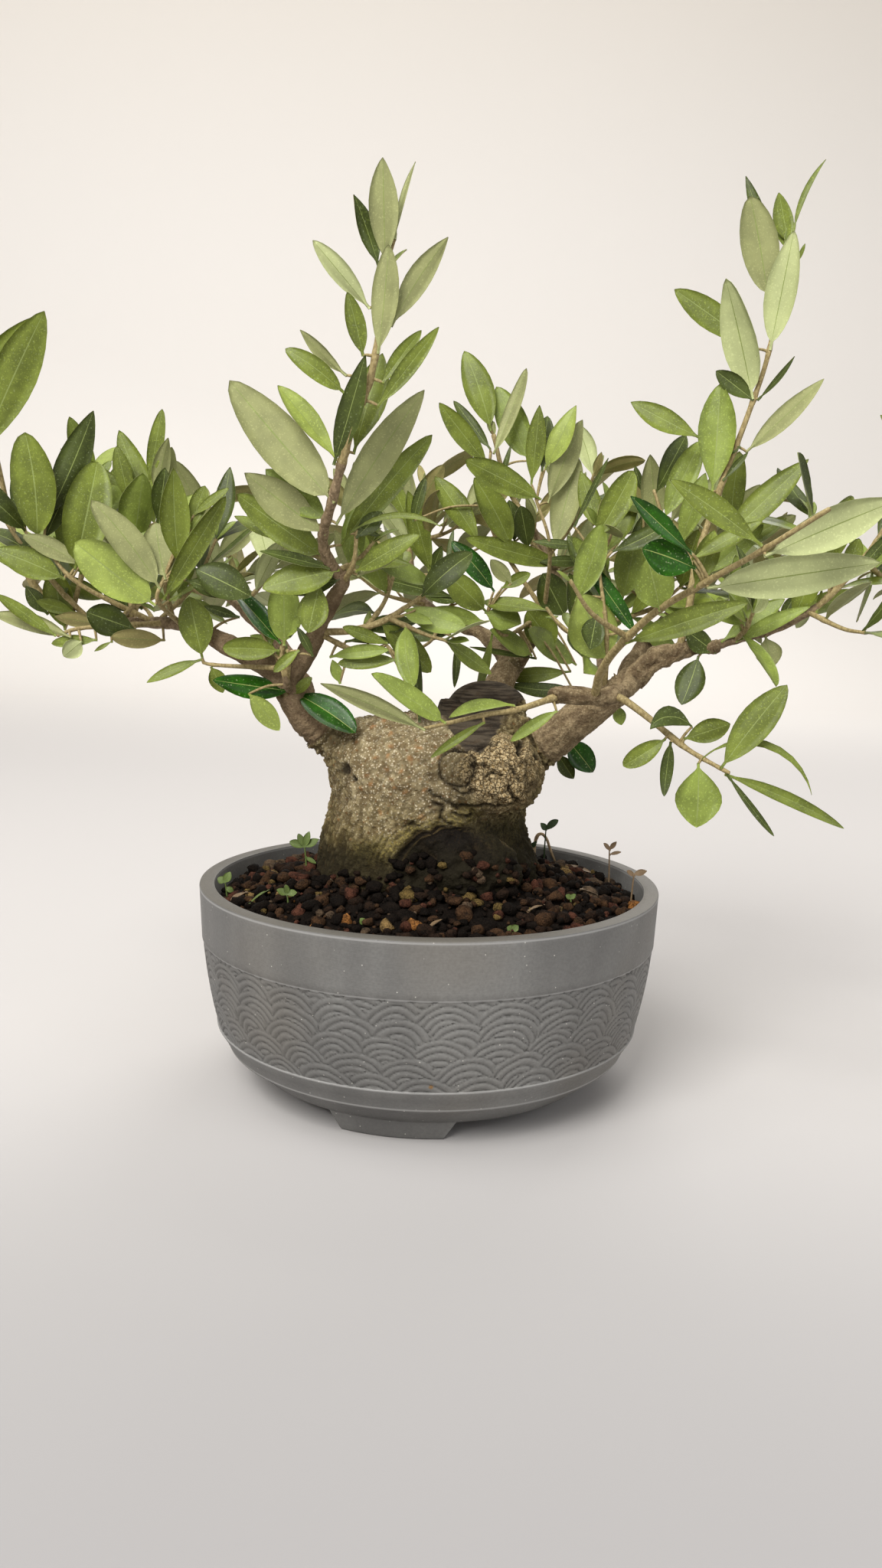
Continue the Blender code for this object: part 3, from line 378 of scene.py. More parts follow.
# %% Shape of the pot
RIM_RADIUS = 78.0
RIM_HEIGHT = 68.0
UNDERSIDE = 5.7
WAVE_LOW = (72.1, 21.0)
WAVE_MIDDLE = (75.2, 36.0)
WAVE_TOP = (76.9, 50.0)
PLAIN_STEPS = 288
WAVE_STEPS = 1152
WAVE_ROWS = 64
EDGE_ROUND = 0.35
BAND_LIP = 0.3
BAND_INSIDE = 70.5
INSIDE_AND_RIM = ((56.9, 10.7), (63.3, 17.5), (70.2, 36.0), (71.9, 50.0), (73.0, 67.2), (73.15, 67.8),
                  (73.6, 68.0), (77.4, 68.0), (77.85, 67.85), (78.0, 67.4))
BELOW_WAVES = ((72.4, 20.95), (72.35, 20.5), (70.5, 17.6), (68.65, 14.1), (68.6, 13.65), (68.2, 13.2),
               (67.6, 13.0), (66.0, 11.6), (62.5, 8.7), (59.3, 6.0), (58.6, UNDERSIDE), (40.0, UNDERSIDE))


def grid_quads(here, ahead):
    """Quads between the rows of a grid of indices and of the same grid one column ahead."""
    return np.stack([here[:-1], here[1:], ahead[1:], ahead[:-1]], axis=-1)


def turns(count):
    """Evenly spaced angles of one full turn."""
    return np.linspace(0, math.tau, count, endpoint=False)


def ring_at(radius, height, steps):
    """Points of a ring round the pot's axis. Its radius may be one number or one for each point."""
    angles = turns(steps)
    ring = np.stack([np.cos(angles), np.sin(angles), np.zeros(steps)], axis=1)
    return ring * np.reshape(radius, (-1, 1)) + (0, 0, height)


class Lathe:
    """Rings joined into one skin. A ring may have a whole number of times another's points."""

    def __init__(self):
        self.points = []
        self.blocks = []
        self.count = 0
        self.last = None

    def add(self, ring):
        indices = np.arange(len(ring)) + self.count
        self.points.append(ring)
        self.count += len(ring)
        if self.last is not None:
            self.join(self.last, indices)
        self.last = indices

    def join(self, before, after):
        if len(before) == len(after):
            self.blocks.append(np.stack([before, after, np.roll(after, -1), np.roll(before, -1)], axis=1))
            return
        coarse, fine, flip = (before, after, False) if len(before) < len(after) else (after, before, True)
        ratio = len(fine) // len(coarse)
        following = np.roll(coarse, -1)
        faces = []
        for step in range(ratio):
            here = fine[step::ratio]
            ahead = np.roll(fine, -1)[step::ratio]
            faces.append(np.stack([coarse if step < ratio / 2 else following, here, ahead], axis=1))
        faces.append(np.stack([coarse, fine[ratio // 2::ratio], following], axis=1))
        faces = np.concatenate(faces)
        self.blocks.append(faces[:, ::-1] if flip else faces)

    def close(self, height):
        """A point on the axis that closes the skin."""
        middle = self.count
        self.points.append(np.array([(0.0, 0.0, height)]))
        self.count += 1
        ahead = np.roll(self.last, -1)
        self.blocks.append(np.stack([self.last, np.full(len(self.last), middle), ahead], axis=1))


# %% Overlapping wave fans
FAN_COUNT = 29
FAN_ROW_SHIFTS = (0.5, 0.0, 0.12, -0.12, 0.25, 0.6)
FAN_ROW_PITCH = 5.9
FAN_FIRST_TOP = 56.0
FAN_RADIUS = 11.5
FAN_HALF = 8.5
RIDGE_PITCH = 2.2
RIDGE_HEIGHT = 0.55
BAND_RADIUS = 74.8
FAN_PHASE = math.radians(-90) - 9.0 / BAND_RADIUS


def hashed(cells, seed):
    """A steady random number from 0 to 1 for each row of whole numbers."""
    mixed = np.full(len(cells), seed * 0x9E3779B1 & 0xFFFFFFFF, np.uint32)
    for column in range(cells.shape[1]):
        mixed ^= cells[:, column].astype(np.int64).astype(np.uint32) * np.uint32(0x85EBCA6B + 2 * column)
        mixed ^= mixed >> np.uint32(13)
        mixed *= np.uint32(0xC2B2AE35)
        mixed ^= mixed >> np.uint32(16)
    return mixed / 4294967295.0


def roughness_at(points, size, seed=0, octaves=3):
    """Smooth noise from about -1 to 1 at points in mm, with bumps about a size across."""
    total = np.zeros(len(points))
    share = 1.0
    for octave in range(octaves):
        spots = points / size
        base = np.floor(spots)
        part = spots - base
        part = part * part * (3 - 2 * part)
        layer = np.zeros(len(points))
        for corner in np.ndindex(2, 2, 2):
            weight = np.prod(np.where(np.array(corner) == 1, part, 1 - part), axis=1)
            layer += weight * hashed(base + corner, seed + octave)
        total += share * (2 * layer - 1)
        share *= 0.5
        size *= 0.5
    return total


def wave_relief(angles, heights):
    """How far the fans stand proud, for a grid of angles across and heights down."""
    across, down = np.meshgrid(angles, heights)
    grid = np.stack([across.ravel() * BAND_RADIUS, down.ravel(), np.zeros(across.size)], axis=1)
    wobble = roughness_at(grid, 7.0, seed=5, octaves=2).reshape(across.shape)
    relief = np.zeros(across.shape)
    dice = random.Random(3)
    pitch = math.tau / FAN_COUNT
    for row, row_shift in enumerate(FAN_ROW_SHIFTS):
        order = list(range(FAN_COUNT))
        dice.shuffle(order)
        for fan in order:
            radius = FAN_RADIUS * dice.uniform(0.88, 1.12)
            ridge = RIDGE_PITCH * dice.uniform(0.9, 1.1)
            top = FAN_FIRST_TOP - FAN_ROW_PITCH * row + dice.uniform(-0.9, 0.9)
            middle = FAN_PHASE + pitch * (fan + row_shift) + dice.uniform(-1, 1) * 1.3 / BAND_RADIUS
            aside = (across - middle + math.pi) % math.tau - math.pi
            lean = dice.uniform(-0.12, 0.12)
            half = FAN_HALF * dice.uniform(0.93, 1.12)
            below = down - (top - radius) + lean * aside * BAND_RADIUS
            gap = np.hypot(aside * BAND_RADIUS, below) + 0.4 * wobble
            inside = (gap < radius) & (np.abs(aside * BAND_RADIUS + 0.5 * wobble) < half)
            share = ((radius - gap) / ridge) % 1.0
            height = 1 - np.abs(2 * share - 1) ** 3
            relief[inside] = height[inside]
    return relief


# %% Turn the pot
def band_radius(height):
    """The wave band's radius at a height, on a soft curve through its three measures."""
    knots = np.array([WAVE_LOW, WAVE_MIDDLE, WAVE_TOP])
    return float(np.polyval(np.polyfit(knots[:, 1], knots[:, 0], 2), height))


def make_pot_skin():
    """The bowl's skin, from its inner wall over the rim and down to the middle of its underside."""
    lathe = Lathe()
    top_radius = band_radius(WAVE_TOP[1]) + BAND_LIP
    drop = WAVE_TOP[1] + EDGE_ROUND - RIM_HEIGHT
    upper_band = [(RIM_RADIUS + (top_radius - RIM_RADIUS) * share, RIM_HEIGHT + drop * share)
                  for share in np.linspace(0.12, 1.0, 8)]
    for radius, height in (*INSIDE_AND_RIM, *upper_band):
        lathe.add(ring_at(radius, height, PLAIN_STEPS))
    heights = np.linspace(WAVE_TOP[1] - 0.2, WAVE_LOW[1] + 0.2, WAVE_ROWS)
    relief = wave_relief(turns(WAVE_STEPS), heights)
    for row, height in enumerate(heights):
        radius = band_radius(height) - RIDGE_HEIGHT + RIDGE_HEIGHT * relief[row]
        lathe.add(ring_at(radius, height, WAVE_STEPS))
    for radius, height in BELOW_WAVES:
        lathe.add(ring_at(radius, height, PLAIN_STEPS))
    lathe.close(UNDERSIDE)
    return lathe


FOOT_CENTRES = (-10.0, 110.0, 230.0)
FOOT_SPAN = 39.0
FOOT_END_SLANT = 0.81
FOOT_STEPS = 26
FOOT_SECTION = ((48.5, 6.6), (48.5, 0.7), (48.8, 0.2), (49.3, 0.0), (57.6, 0.0), (58.1, 0.2),
                (58.4, 0.7), (59.4, 6.6))


def add_foot(lathe, centre):
    """A curved foot: its section swept round the axis, with ends that lean inwards."""
    rows = []
    middle = math.radians(centre - 90)
    for step in range(FOOT_STEPS + 1):
        side = 2 * step / FOOT_STEPS - 1
        drawn_in = 1 - 0.004 * (abs(side) > 0.99)
        for radius, height in FOOT_SECTION:
            slant = FOOT_END_SLANT + (1 - FOOT_END_SLANT) * height / UNDERSIDE
            angle = middle + side * math.radians(FOOT_SPAN / 2) * slant * drawn_in
            rows.append((radius * math.cos(angle), radius * math.sin(angle), height))
    index = np.arange(len(rows)).reshape(-1, len(FOOT_SECTION)) + lathe.count
    quads = grid_quads(index[:, :-1], index[:, 1:]).reshape(-1, 4)
    start, end = index[0], index[-1]
    caps = [[start[0], start[corner], start[corner + 1]] for corner in range(1, len(start) - 1)]
    caps += [[end[0], end[corner + 1], end[corner]] for corner in range(1, len(end) - 1)]
    lathe.points.append(np.array(rows))
    lathe.count += len(rows)
    lathe.blocks += [quads[:, ::-1], np.array(caps)]


# %% [markdown]
# The bowl was printed in a matte grey plastic. Its finish has fine rings on the rim, fine layer lines on the
# walls, slow cloudy changes of grey, tiny pale specks and one rusty spot. The grooves of the waves are
# darkened as painted shade, which the height of the relief tells, and thin paler lines along the edges of the
# bands are painted highlights.

# %% Finish of the pot
RUST_SPOT = (563, 1420)
HIGHLIGHT_EDGES = (67.3, 50.3, 20.9, 14.0)
LAYER_LINES = 0.42
RIM_LINES = 0.62


def make_pot_finish(rust_place):
    plastic = Finish("printed_grey_plastic", 0.55, Specular_IOR_Level=0.35)
    place = plastic.place()
    height = plastic.node("SeparateXYZ", inputs={0: place}, output="Z")
    cloud = plastic.noise(26, plastic.place((1, 1, 0.35)), detail=2)
    grain = plastic.noise(0.9, detail=4)
    pit = plastic.attribute("groove")
    rust = plastic.node("VectorMath", {"operation": "DISTANCE"}, {0: place, 1: rust_place}, "Value")
    rust = rust + (plastic.noise(1.2) - 0.5) * 2.2
    plastic.tone = plastic.blend(cloud.step(0.32, 0.7), (96, 95, 93), (116, 115, 112))
    plastic.lay(grain.step(0.25, 0.8) * 0.35, (78, 77, 75))
    plastic.lay(plastic.noise(40, detail=1).step(0.5, 0.75) * 0.25, (106, 98, 86))
    # Painted shade: the grooves of the waves darken by their depth.
    plastic.lay(pit * 0.6, (52, 51, 49))
    plastic.lay(1 - plastic.cells(3.2).step(0.045, 0.075), (170, 167, 160))
    plastic.lay(1 - rust.step(0.2, 1.0), (112, 84, 50))
    # Painted highlights: thin paler lines along the edges of the rim and the bands.
    for edge in HIGHLIGHT_EDGES:
        gap = plastic.node("Math", {"operation": "ABSOLUTE"}, {0: height - edge})
        plastic.lay((1 - gap.step(0.1, 0.45)) * 0.6, (150, 149, 147))
    plastic.lay(height.step(RIM_HEIGHT - 0.25, RIM_HEIGHT - 0.05) * 0.75, (84, 80, 72))
    plastic.paint()
    plastic.gloss(0.5 + grain * 0.12 + pit * 0.15)
    flat = plastic.node("VectorMath", {"operation": "MULTIPLY"}, {0: place, 1: (1.0, 1.0, 0.0)})
    reach = plastic.node("VectorMath", {"operation": "LENGTH"}, {0: flat}, "Value")
    layers = plastic.node("Math", {"operation": "SINE"}, {0: height * (math.tau / LAYER_LINES)})
    rings = plastic.node("Math", {"operation": "SINE"}, {0: reach * (math.tau / RIM_LINES)})
    lines = layers * 0.5 + rings * height.step(RIM_HEIGHT - 0.3, RIM_HEIGHT - 0.1)
    plastic.bump(grain, 0.05, plastic.bump(lines, 0.012))
    return plastic


# %% Build the pot
lathe = make_pot_skin()
for centre in FOOT_CENTRES:
    add_foot(lathe, centre)
pot_points = np.concatenate(lathe.points)
pot_mesh = make_mesh("bowl", pot_points, lathe.blocks)
pot_mesh.set_sharp_from_angle(angle=math.radians(50))
pot_reach = np.hypot(pot_points[:, 0], pot_points[:, 1])
in_band = (pot_points[:, 2] > WAVE_LOW[1]) & (pot_points[:, 2] < WAVE_TOP[1]) & (pot_reach > BAND_INSIDE)
band_base = np.array([band_radius(height) for height in pot_points[:, 2]])
groove = np.where(in_band, np.clip((band_base - pot_reach) / RIDGE_HEIGHT, 0, 1), 0.0) ** 2
give_values(pot_mesh, "groove", groove)
pot_tree = BVHTree.FromPolygons(pot_points.tolist(), [list(p.vertices) for p in pot_mesh.polygons])
rust_place = pot_tree.ray_cast(CAMERA_PLACE, photo_ray(*RUST_SPOT))[0]
give_finishes(pot_mesh, [make_pot_finish(rust_place)])
set_piece(pot_mesh, ["pot"])

# %% [markdown]
# Stems and boughs follow smooth lines through a few places. A Route reads such a line by the
# distance along it: a point, the direction there, and the nearest mark to any place.

# %% Smooth lines and routes
def smooth(places, fineness=10):
    """Points of a smooth line that runs through a few places."""
    knots = [Vector(place) for place in places]
    knots = [2 * knots[0] - knots[1], *knots, 2 * knots[-1] - knots[-2]]
    points = []
    for before, start, end, after in zip(knots, knots[1:], knots[2:], knots[3:]):
        for step in range(fineness):
            t = step / fineness
            points.append(0.5 * (
                2 * start + (end - before) * t
                + (2 * before - 5 * start + 4 * end - after) * t ** 2
                + (3 * start - before - 3 * end + after) * t ** 3))
    points.append(knots[-2].copy())
    return points


class Route:
    """A line through points, read by the distance along it."""

    def __init__(self, points):
        self.points = [Vector(point) for point in points]
        self.marks = [0.0]
        for start, end in zip(self.points, self.points[1:]):
            self.marks.append(self.marks[-1] + (end - start).length)
        self.length = self.marks[-1]

    def point(self, distance):
        distance = min(max(distance, 0.0), self.length)
        for index in range(1, len(self.marks)):
            if distance <= self.marks[index]:
                span = self.marks[index] - self.marks[index - 1]
                share = (distance - self.marks[index - 1]) / span
                return self.points[index - 1].lerp(self.points[index], share)
        return self.points[-1].copy()

    def tangent(self, distance, reach=1.5):
        ahead = self.point(min(distance + reach, self.length))
        behind = self.point(max(distance - reach, 0.0))
        return (ahead - behind).normalized()

    def until(self, distance):
        """The line's first part, up to a distance along it."""
        kept = [point for point, mark in zip(self.points, self.marks) if mark < distance - 0.1]
        return Route([*kept, self.point(distance)])

    def nearest(self, place):
        gaps = [(point - place).length for point in self.points]
        return self.marks[gaps.index(min(gaps))]


print("a smooth line through 3 places has", len(smooth(((0, 0, 0), (1, 0, 0), (1, 1, 0)))), "points")

# %% [markdown]
# Twigs are round tubes. They taper, swell at the nodes where leaves leave, and end in a blunt
# bud. Young shoots are smooth and grey green, older stems brown with fine bark.

# %% Tubes for twigs
TUBE_SIDES = 7
TUBE_STEP = 1.6
NODE_SWELL = 0.24
NODE_REACH = 1.3


def tube_rings(route, thick, nodes, sides, step):
    """Rings of points along a route, carried along it without twisting."""
    count = max(3, round(route.length / step))
    marks = [route.length * index / count for index in range(count + 1)]
    tangent = route.tangent(0)
    side = tangent.orthogonal().normalized()
    rings = []
    for mark in marks:
        tangent = route.tangent(mark)
        side = (side - side.dot(tangent) * tangent).normalized()
        other = tangent.cross(side)
        radius = thick[0] + (thick[1] - thick[0]) * mark / route.length
        gap = min((abs(mark - node) for node in nodes), default=99)
        radius *= 1 + NODE_SWELL * math.exp(-((gap / NODE_REACH) ** 2))
        middle = route.point(mark)
        rings.append([middle + radius * (math.cos(math.tau * turn / sides) * side
                                         + math.sin(math.tau * turn / sides) * other)
                      for turn in range(sides)])
    tip = route.point(route.length) + 0.8 * thick[1] * tangent
    return np.array(rings), np.array(tip)


def tube_parts(rings, tip):
    """Points of a tube, the quads of its sides and the triangles of its two ends."""
    rows, sides = rings.shape[:2]
    index = np.arange(rows * sides).reshape(rows, sides)
    ahead = np.roll(index, -1, axis=1)
    quads = np.stack([index[:-1], ahead[:-1], ahead[1:], index[1:]], axis=-1).reshape(-1, 4)
    foot = np.full(sides, rows * sides)
    start = np.stack([ahead[0], index[0], foot], axis=-1)
    end = np.stack([index[-1], ahead[-1], foot + 1], axis=-1)
    points = np.concatenate([rings.reshape(-1, 3), [rings[0].mean(axis=0)], [tip]])
    return points, quads, np.concatenate([start, end])


class Skin:
    """Tubes and leaves joined into one mesh: all of their quads, and then the triangles."""

    def __init__(self):
        self.count = 0
        self.points, self.quads, self.triangles = [], [], []

    def add(self, points, quads, triangles=np.zeros((0, 3), int)):
        self.points.append(points)
        self.quads.append(quads + self.count)
        self.triangles.append(triangles + self.count)
        self.count += len(points)

    def mesh(self, name):
        blocks = [np.concatenate(self.quads), np.concatenate(self.triangles)]
        return make_mesh(name, np.concatenate(self.points), blocks)


print("a tube has", TUBE_SIDES, "sides")

# %% [markdown]
# The trunk is short and thick, with a burl on its right, a rotten arch of old root at its front,
# a sawn stub on top and three boughs. Its first shape is made of plain closed forms that overlap:
# a loft through measured stations, balls for the lumps and tubes for the wood. A voxel remesh
# melts them into one even skin of small faces, which is what the bark's relief needs.

# %% Measures of the wood
TRUNK_STATIONS = np.array((
    (67.0, 41.5, 37.5, 36.0, 34.0),
    (76.0, 40.0, 35.5, 34.0, 32.0),
    (82.0, 38.4, 33.0, 32.0, 30.0),
    (90.0, 36.0, 30.8, 31.0, 28.5),
    (98.0, 34.8, 32.0, 31.5, 28.0),
    (106.0, 36.0, 36.5, 32.0, 28.0),
    (113.0, 37.5, 35.0, 30.0, 27.0),
    (119.0, 34.0, 31.0, 25.0, 24.0),
    (123.5, 24.0, 26.0, 16.0, 17.0),
    (125.5, 11.0, 16.0, 7.0, 8.0),
))
LOFT_RINGS = 44
LOFT_SIDES = 84
LOBES = 5
LOBE_DEPTH = 0.035
LUMPS = (((17.0, -17.0, 107.0), (19.5, 19.0, 14.0)), ((11.0, -24.0, 75.0), (19.0, 14.0, 15.5)),
         ((18.3, 6.5, 127.2), (13.6, 12.0, 9.0)), ((27.5, 1.5, 117.5), (8.5, 9.0, 8.5)))
LUMP_STEPS = 40
Wood = namedtuple("Wood", "name route thick cut")
WOOD = (
    Wood("stump", ((11, 2, 108), (13, 5, 119), (14.5, 6.5, 127.5)), (15.0, 12.5), 99),
    Wood("left_bough", ((-14, -1, 104), (-30, 0, 113), (-42, -4, 123), (-47.5, -8, 132), (-54, -10, 140),
                        (-65, -10, 145), (-75, -8, 150), (-79, -7.3, 151)), (8.6, 2.5), 28),
    Wood("right_bough", ((14, -2, 102), (30, 0, 111), (40, -4, 118), (48, -8, 125), (56, -10, 131.5),
                         (65, -10, 139), (71, -10, 144.5), (79, -11, 148), (88.5, -12, 149.5),
                         (92, -12.7, 150.4)), (9.6, 1.9), 28),
    Wood("back_bough", ((12, 4, 108), (17, 20, 118), (24, 34, 134), (33, 44, 147), (41, 52, 160),
                        (42.5, 53, 163.5)), (8.2, 2.4), 28),
    Wood("centre_limb", ((-48.5, -8.7, 133.5), (-44, -11.5, 141), (-40, -14, 148), (-36.5, -18, 155),
                         (-32.3, -22, 162), (-29.2, -26, 167), (-30, -28, 170)), (3.6, 2.1), 0),
    Wood("back_left_limb", ((-43, -4.5, 124.5), (-44, 3, 131), (-49, 13, 139), (-58, 27, 148),
                            (-68, 38, 156), (-71, 41, 158.5)), (3.4, 2.2), 0),
    Wood("front_stub", ((65, -10, 139), (62.5, -19, 136.5), (59, -26, 135.5), (52, -32, 134),
                        (39.5, -32.5, 134.5), (36.5, -34, 133.5)), (2.7, 2.9), 0),
    Wood("right_back_limb", ((62, -10, 136.5), (65, -2, 142), (71, 9, 149), (80, 24, 156), (88, 36, 163),
                             (89.5, 37, 165.5)), (3.0, 2.0), 0),
    Wood("back_limb", ((28, 38.5, 140), (23, 44, 147), (17, 50, 152), (10, 56, 154), (2, 61, 158),
                       (0, 62, 160)), (3.2, 2.1), 0),
)
WOOD_SIDES = 44
WOOD_STEP = 2.0


def loft_trunk():
    """Rings through the trunk's stations, with soft lobes that fade towards its top."""
    marks = np.linspace(0, len(TRUNK_STATIONS) - 1, LOFT_RINGS)
    columns = [np.interp(marks, np.arange(len(TRUNK_STATIONS)), column) for column in TRUNK_STATIONS.T]
    heights, left, right, front, back = [column[:, None] for column in columns]
    angles = turns(LOFT_SIDES)[None, :]
    across = np.where(np.cos(angles) > 0, right, left)
    along = np.where(np.sin(angles) > 0, back, front)
    reach = 1 / np.hypot(np.cos(angles) / across, np.sin(angles) / along)
    fade = (heights.max() - heights) / (heights.max() - heights.min())
    reach = reach * (1 + LOBE_DEPTH * fade * np.cos(LOBES * angles))
    rings = [reach * np.cos(angles), reach * np.sin(angles), heights + 0 * angles]
    return np.stack(rings, axis=-1)


def ball_rings(centre, radii):
    """Rings of a ball with its own radius on each axis, from its foot up."""
    rise = np.linspace(-math.pi / 2 + 0.05, math.pi / 2 - 0.05, LUMP_STEPS // 2)[:, None]
    turn = turns(LUMP_STEPS)[None, :]
    flat = np.cos(rise)
    ball = np.stack([flat * np.cos(turn), flat * np.sin(turn), np.sin(rise) + 0 * turn], axis=-1)
    return ball * radii + centre


def melt(skin, voxel, rounds):
    """Overlapping closed forms melted into one skin of small even faces."""
    rough = add_object("rough_wood", skin.mesh("rough_wood"))
    remesh = rough.modifiers.new("melt", "REMESH")
    remesh.mode = "VOXEL"
    remesh.voxel_size = voxel * MM
    soften = rough.modifiers.new("soften", "SMOOTH")
    soften.factor = 0.5
    soften.iterations = rounds
    melted = bpy.data.meshes.new_from_object(rough.evaluated_get(bpy.context.evaluated_depsgraph_get()))
    mesh = rough.data
    bpy.data.objects.remove(rough)
    bpy.data.meshes.remove(mesh)
    return melted


def read(items, name, columns, kind=float):
    """One value of every item of a mesh, as an array with a number of columns."""
    values = np.zeros(len(items) * columns, kind)
    items.foreach_get(name, values)
    return values.reshape(-1, columns)


# %% Melt the wood into one skin
WOOD_VOXEL = 0.62
SOFTEN_ROUNDS = 5
TRUNK_TOP = (2.5, 0.0, 126.0)
wood_forms = Skin()
wood_forms.add(*tube_parts(loft_trunk(), TRUNK_TOP))
for centre, radii in LUMPS:
    wood_forms.add(*tube_parts(ball_rings(centre, radii), np.array(centre) + (0, 0, radii[2])))
wood_routes = [Route(smooth(wood.route)) for wood in WOOD]
for wood, route in zip(WOOD, wood_routes):
    rings, _ = tube_rings(route, wood.thick, (), WOOD_SIDES, WOOD_STEP)
    wood_forms.add(*tube_parts(rings, wood.route[-1]))
wood_skin = melt(wood_forms, WOOD_VOXEL, SOFTEN_ROUNDS)
skin_points = read(wood_skin.vertices, "co", 3) / MM
skin_normals = read(wood_skin.vertex_normals, "vector", 3)
skin_faces = read(wood_skin.loops, "vertex_index", 1, np.int32).reshape(-1, 4)
print("wood skin:", len(skin_points), "points", len(skin_faces), "quads")

# %% [markdown]
# Each point of the skin is told which piece of wood it is on, how far along it lies, and where
# it shows in the photograph. The marks of the bark that face the viewer, such as the knot, the
# burl's cracks and the moss, are then set by where they show. The sides and the back get bark of
# the same kinds by noise alone.

# %% Where each point of the bark is
SAMPLE_STEP = 0.8
BOUGH_REACH = 14
UNSEEN = 0.05


def nearest_wood(points):
    """For each point: the number of its piece of wood, its mark along it, and its offset from the axis."""
    samples = []
    for number, route in enumerate(wood_routes):
        for mark in np.arange(0, route.length, SAMPLE_STEP):
            samples.append((number, mark, *route.point(mark), *route.tangent(mark)))
    samples = np.array(samples)
    tree = KDTree(len(samples))
    for index, sample in enumerate(samples):
        tree.insert(sample[2:5], index)
    tree.balance()
    found = np.array([tree.find(point)[1] for point in points.tolist()])
    chosen = samples[found]
    return chosen[:, 0].astype(int), chosen[:, 1], points - chosen[:, 2:5], chosen[:, 5:8]


def in_photo(points):
    """Where points show in the photograph, in its pixels."""
    seen = points - np.array(CAMERA_PLACE)
    depth = seen @ np.array(look)
    across = PHOTO_SIZE[0] / 2 + FOCUS * (seen @ np.array(camera_right)) / depth
    down = PHOTO_SIZE[1] / 2 - FOCUS * (seen @ np.array(camera_up)) / depth
    return across, down


def ramp(values, low, high):
    """0 at low, 1 at high, smooth between, for arrays."""
    share = np.clip((values - low) / (high - low), 0, 1)
    return share * share * (3 - 2 * share)


def cells_at(points, size, seed=0):
    """Distances to the nearest two of scattered cell centres, in cell sizes, and the cell's number."""
    spots = points / size
    base = np.floor(spots)
    nearest = np.full(len(points), 9.0)
    second = np.full(len(points), 9.0)
    owner = np.zeros(len(points))
    for corner in np.ndindex(3, 3, 3):
        cell = base + np.array(corner) - 1
        centre = cell + np.stack([hashed(cell, seed + axis) for axis in range(3)], axis=1)
        gap = np.linalg.norm(spots - centre, axis=1)
        closer = gap < nearest
        second = np.where(closer, nearest, np.minimum(second, gap))
        owner = np.where(closer, hashed(cell, seed + 7), owner)
        nearest = np.where(closer, gap, nearest)
    return nearest, second, owner


wood_number, wood_mark, wood_offset, wood_tangent = nearest_wood(skin_points)
seen_across, seen_down = in_photo(skin_points)
facing = ramp(-(skin_normals @ np.array(look)), 0.02, 0.25) * ramp(-skin_points[:, 1], -2, 6)
cut_marks = np.array([wood.cut for wood in WOOD])[wood_number]
wood_radius = np.linalg.norm(wood_offset, axis=1)
bough_share = ((wood_number > 0) & (wood_mark > cut_marks) & (wood_radius < BOUGH_REACH)).astype(float)
height_at = skin_points[:, 2]
print("points on boughs:", int(bough_share.sum()))

# %% Marks of the bark that show in the photograph
KNOT = (597, 1004, 22, 25)
KNOT_EYE = (605, 1007, 14, 14)
SCAR_HOLE = (680, 976, 6, 12)
SIDE_PITS = ((447, 1006, 8, 9), (460, 1018, 4, 5))
RING_KNOTS = ((655, 1047, 6), (561, 1013, 6.5), (540, 1082, 6), (482, 1012, 5), (434, 993, 7), (500, 962, 5))
LENTICELS = ((466, 967), (510, 957), (510, 975), (507, 988), (535, 992), (493, 990), (505, 1005), (480, 1012),
             (512, 1018), (485, 1025), (515, 1030), (530, 1035), (555, 1032), (498, 1060), (552, 1066),
             (574, 990), (548, 975), (526, 1008), (470, 1030), (500, 940), (486, 948))
BARK_CRACKS = (
    ((562, 1035), (568, 1042), (580, 1048), (600, 1055)),
    ((566, 1050), (580, 1057), (574, 1068), (590, 1076)), ((590, 1060), (604, 1066), (618, 1062)),
    ((527, 1078), (545, 1077)), ((600, 1054), (622, 1051), (648, 1054), (676, 1048)),
    ((688, 958), (695, 973), (706, 992)), ((617, 1000), (627, 996), (640, 1000)),
    ((668, 998), (675, 1006), (678, 1020)), ((668, 1028), (668, 1040), (676, 1044)),
    ((636, 1012), (645, 1006), (655, 1012)), ((590, 1034), (603, 1037), (618, 1033)),
    ((620, 975), (634, 968), (648, 972)),
)
ARCH = (590, 1141, 76, 62)
STUB_FACE = (620, 934, 37, 44)
STUB_SHADOW = (600, 978, 14, 5)
CRUST_TUFT = (617, 1063, 13, 7)
YELLOW_RIDGE = ((474, 1116), (520, 1104), (555, 1088), (580, 1079), (612, 1068))
BURL_ZONE = (652, 1008, 56, 50)
PALE_ZONE = (535, 996, 106, 92)
BURL_SHADE = (690, 1018, 13, 26)
WARP = 3.2


def oval(across, down, half_across, half_down):
    """How far each point is from an oval's middle in the photograph: 1 on its edge, large behind."""
    gap = np.hypot((mark_across - across) / half_across, (mark_down - down) / half_down)
    return np.where(facing > UNSEEN, gap, 99.0)


def line_gap(line):
    """Each point's distance from a drawn line in the photograph, in its pixels."""
    spots = np.stack([mark_across, mark_down], axis=1)
    best = np.full(len(spots), 999.0)
    for start, end in zip(np.array(line[:-1], float), np.array(line[1:], float)):
        run = end - start
        share = np.clip(((spots - start) @ run) / (run @ run), 0, 1)
        best = np.minimum(best, np.linalg.norm(spots - start - share[:, None] * run, axis=1))
    return np.where(facing > UNSEEN, best, 999.0)


def patch(zone, edge, core, fray=0.2):
    """1 within an oval's core in the photograph, 0 beyond its edge, and frayed between."""
    return ramp(-(oval(*zone) + fray * wander), -edge, -core)


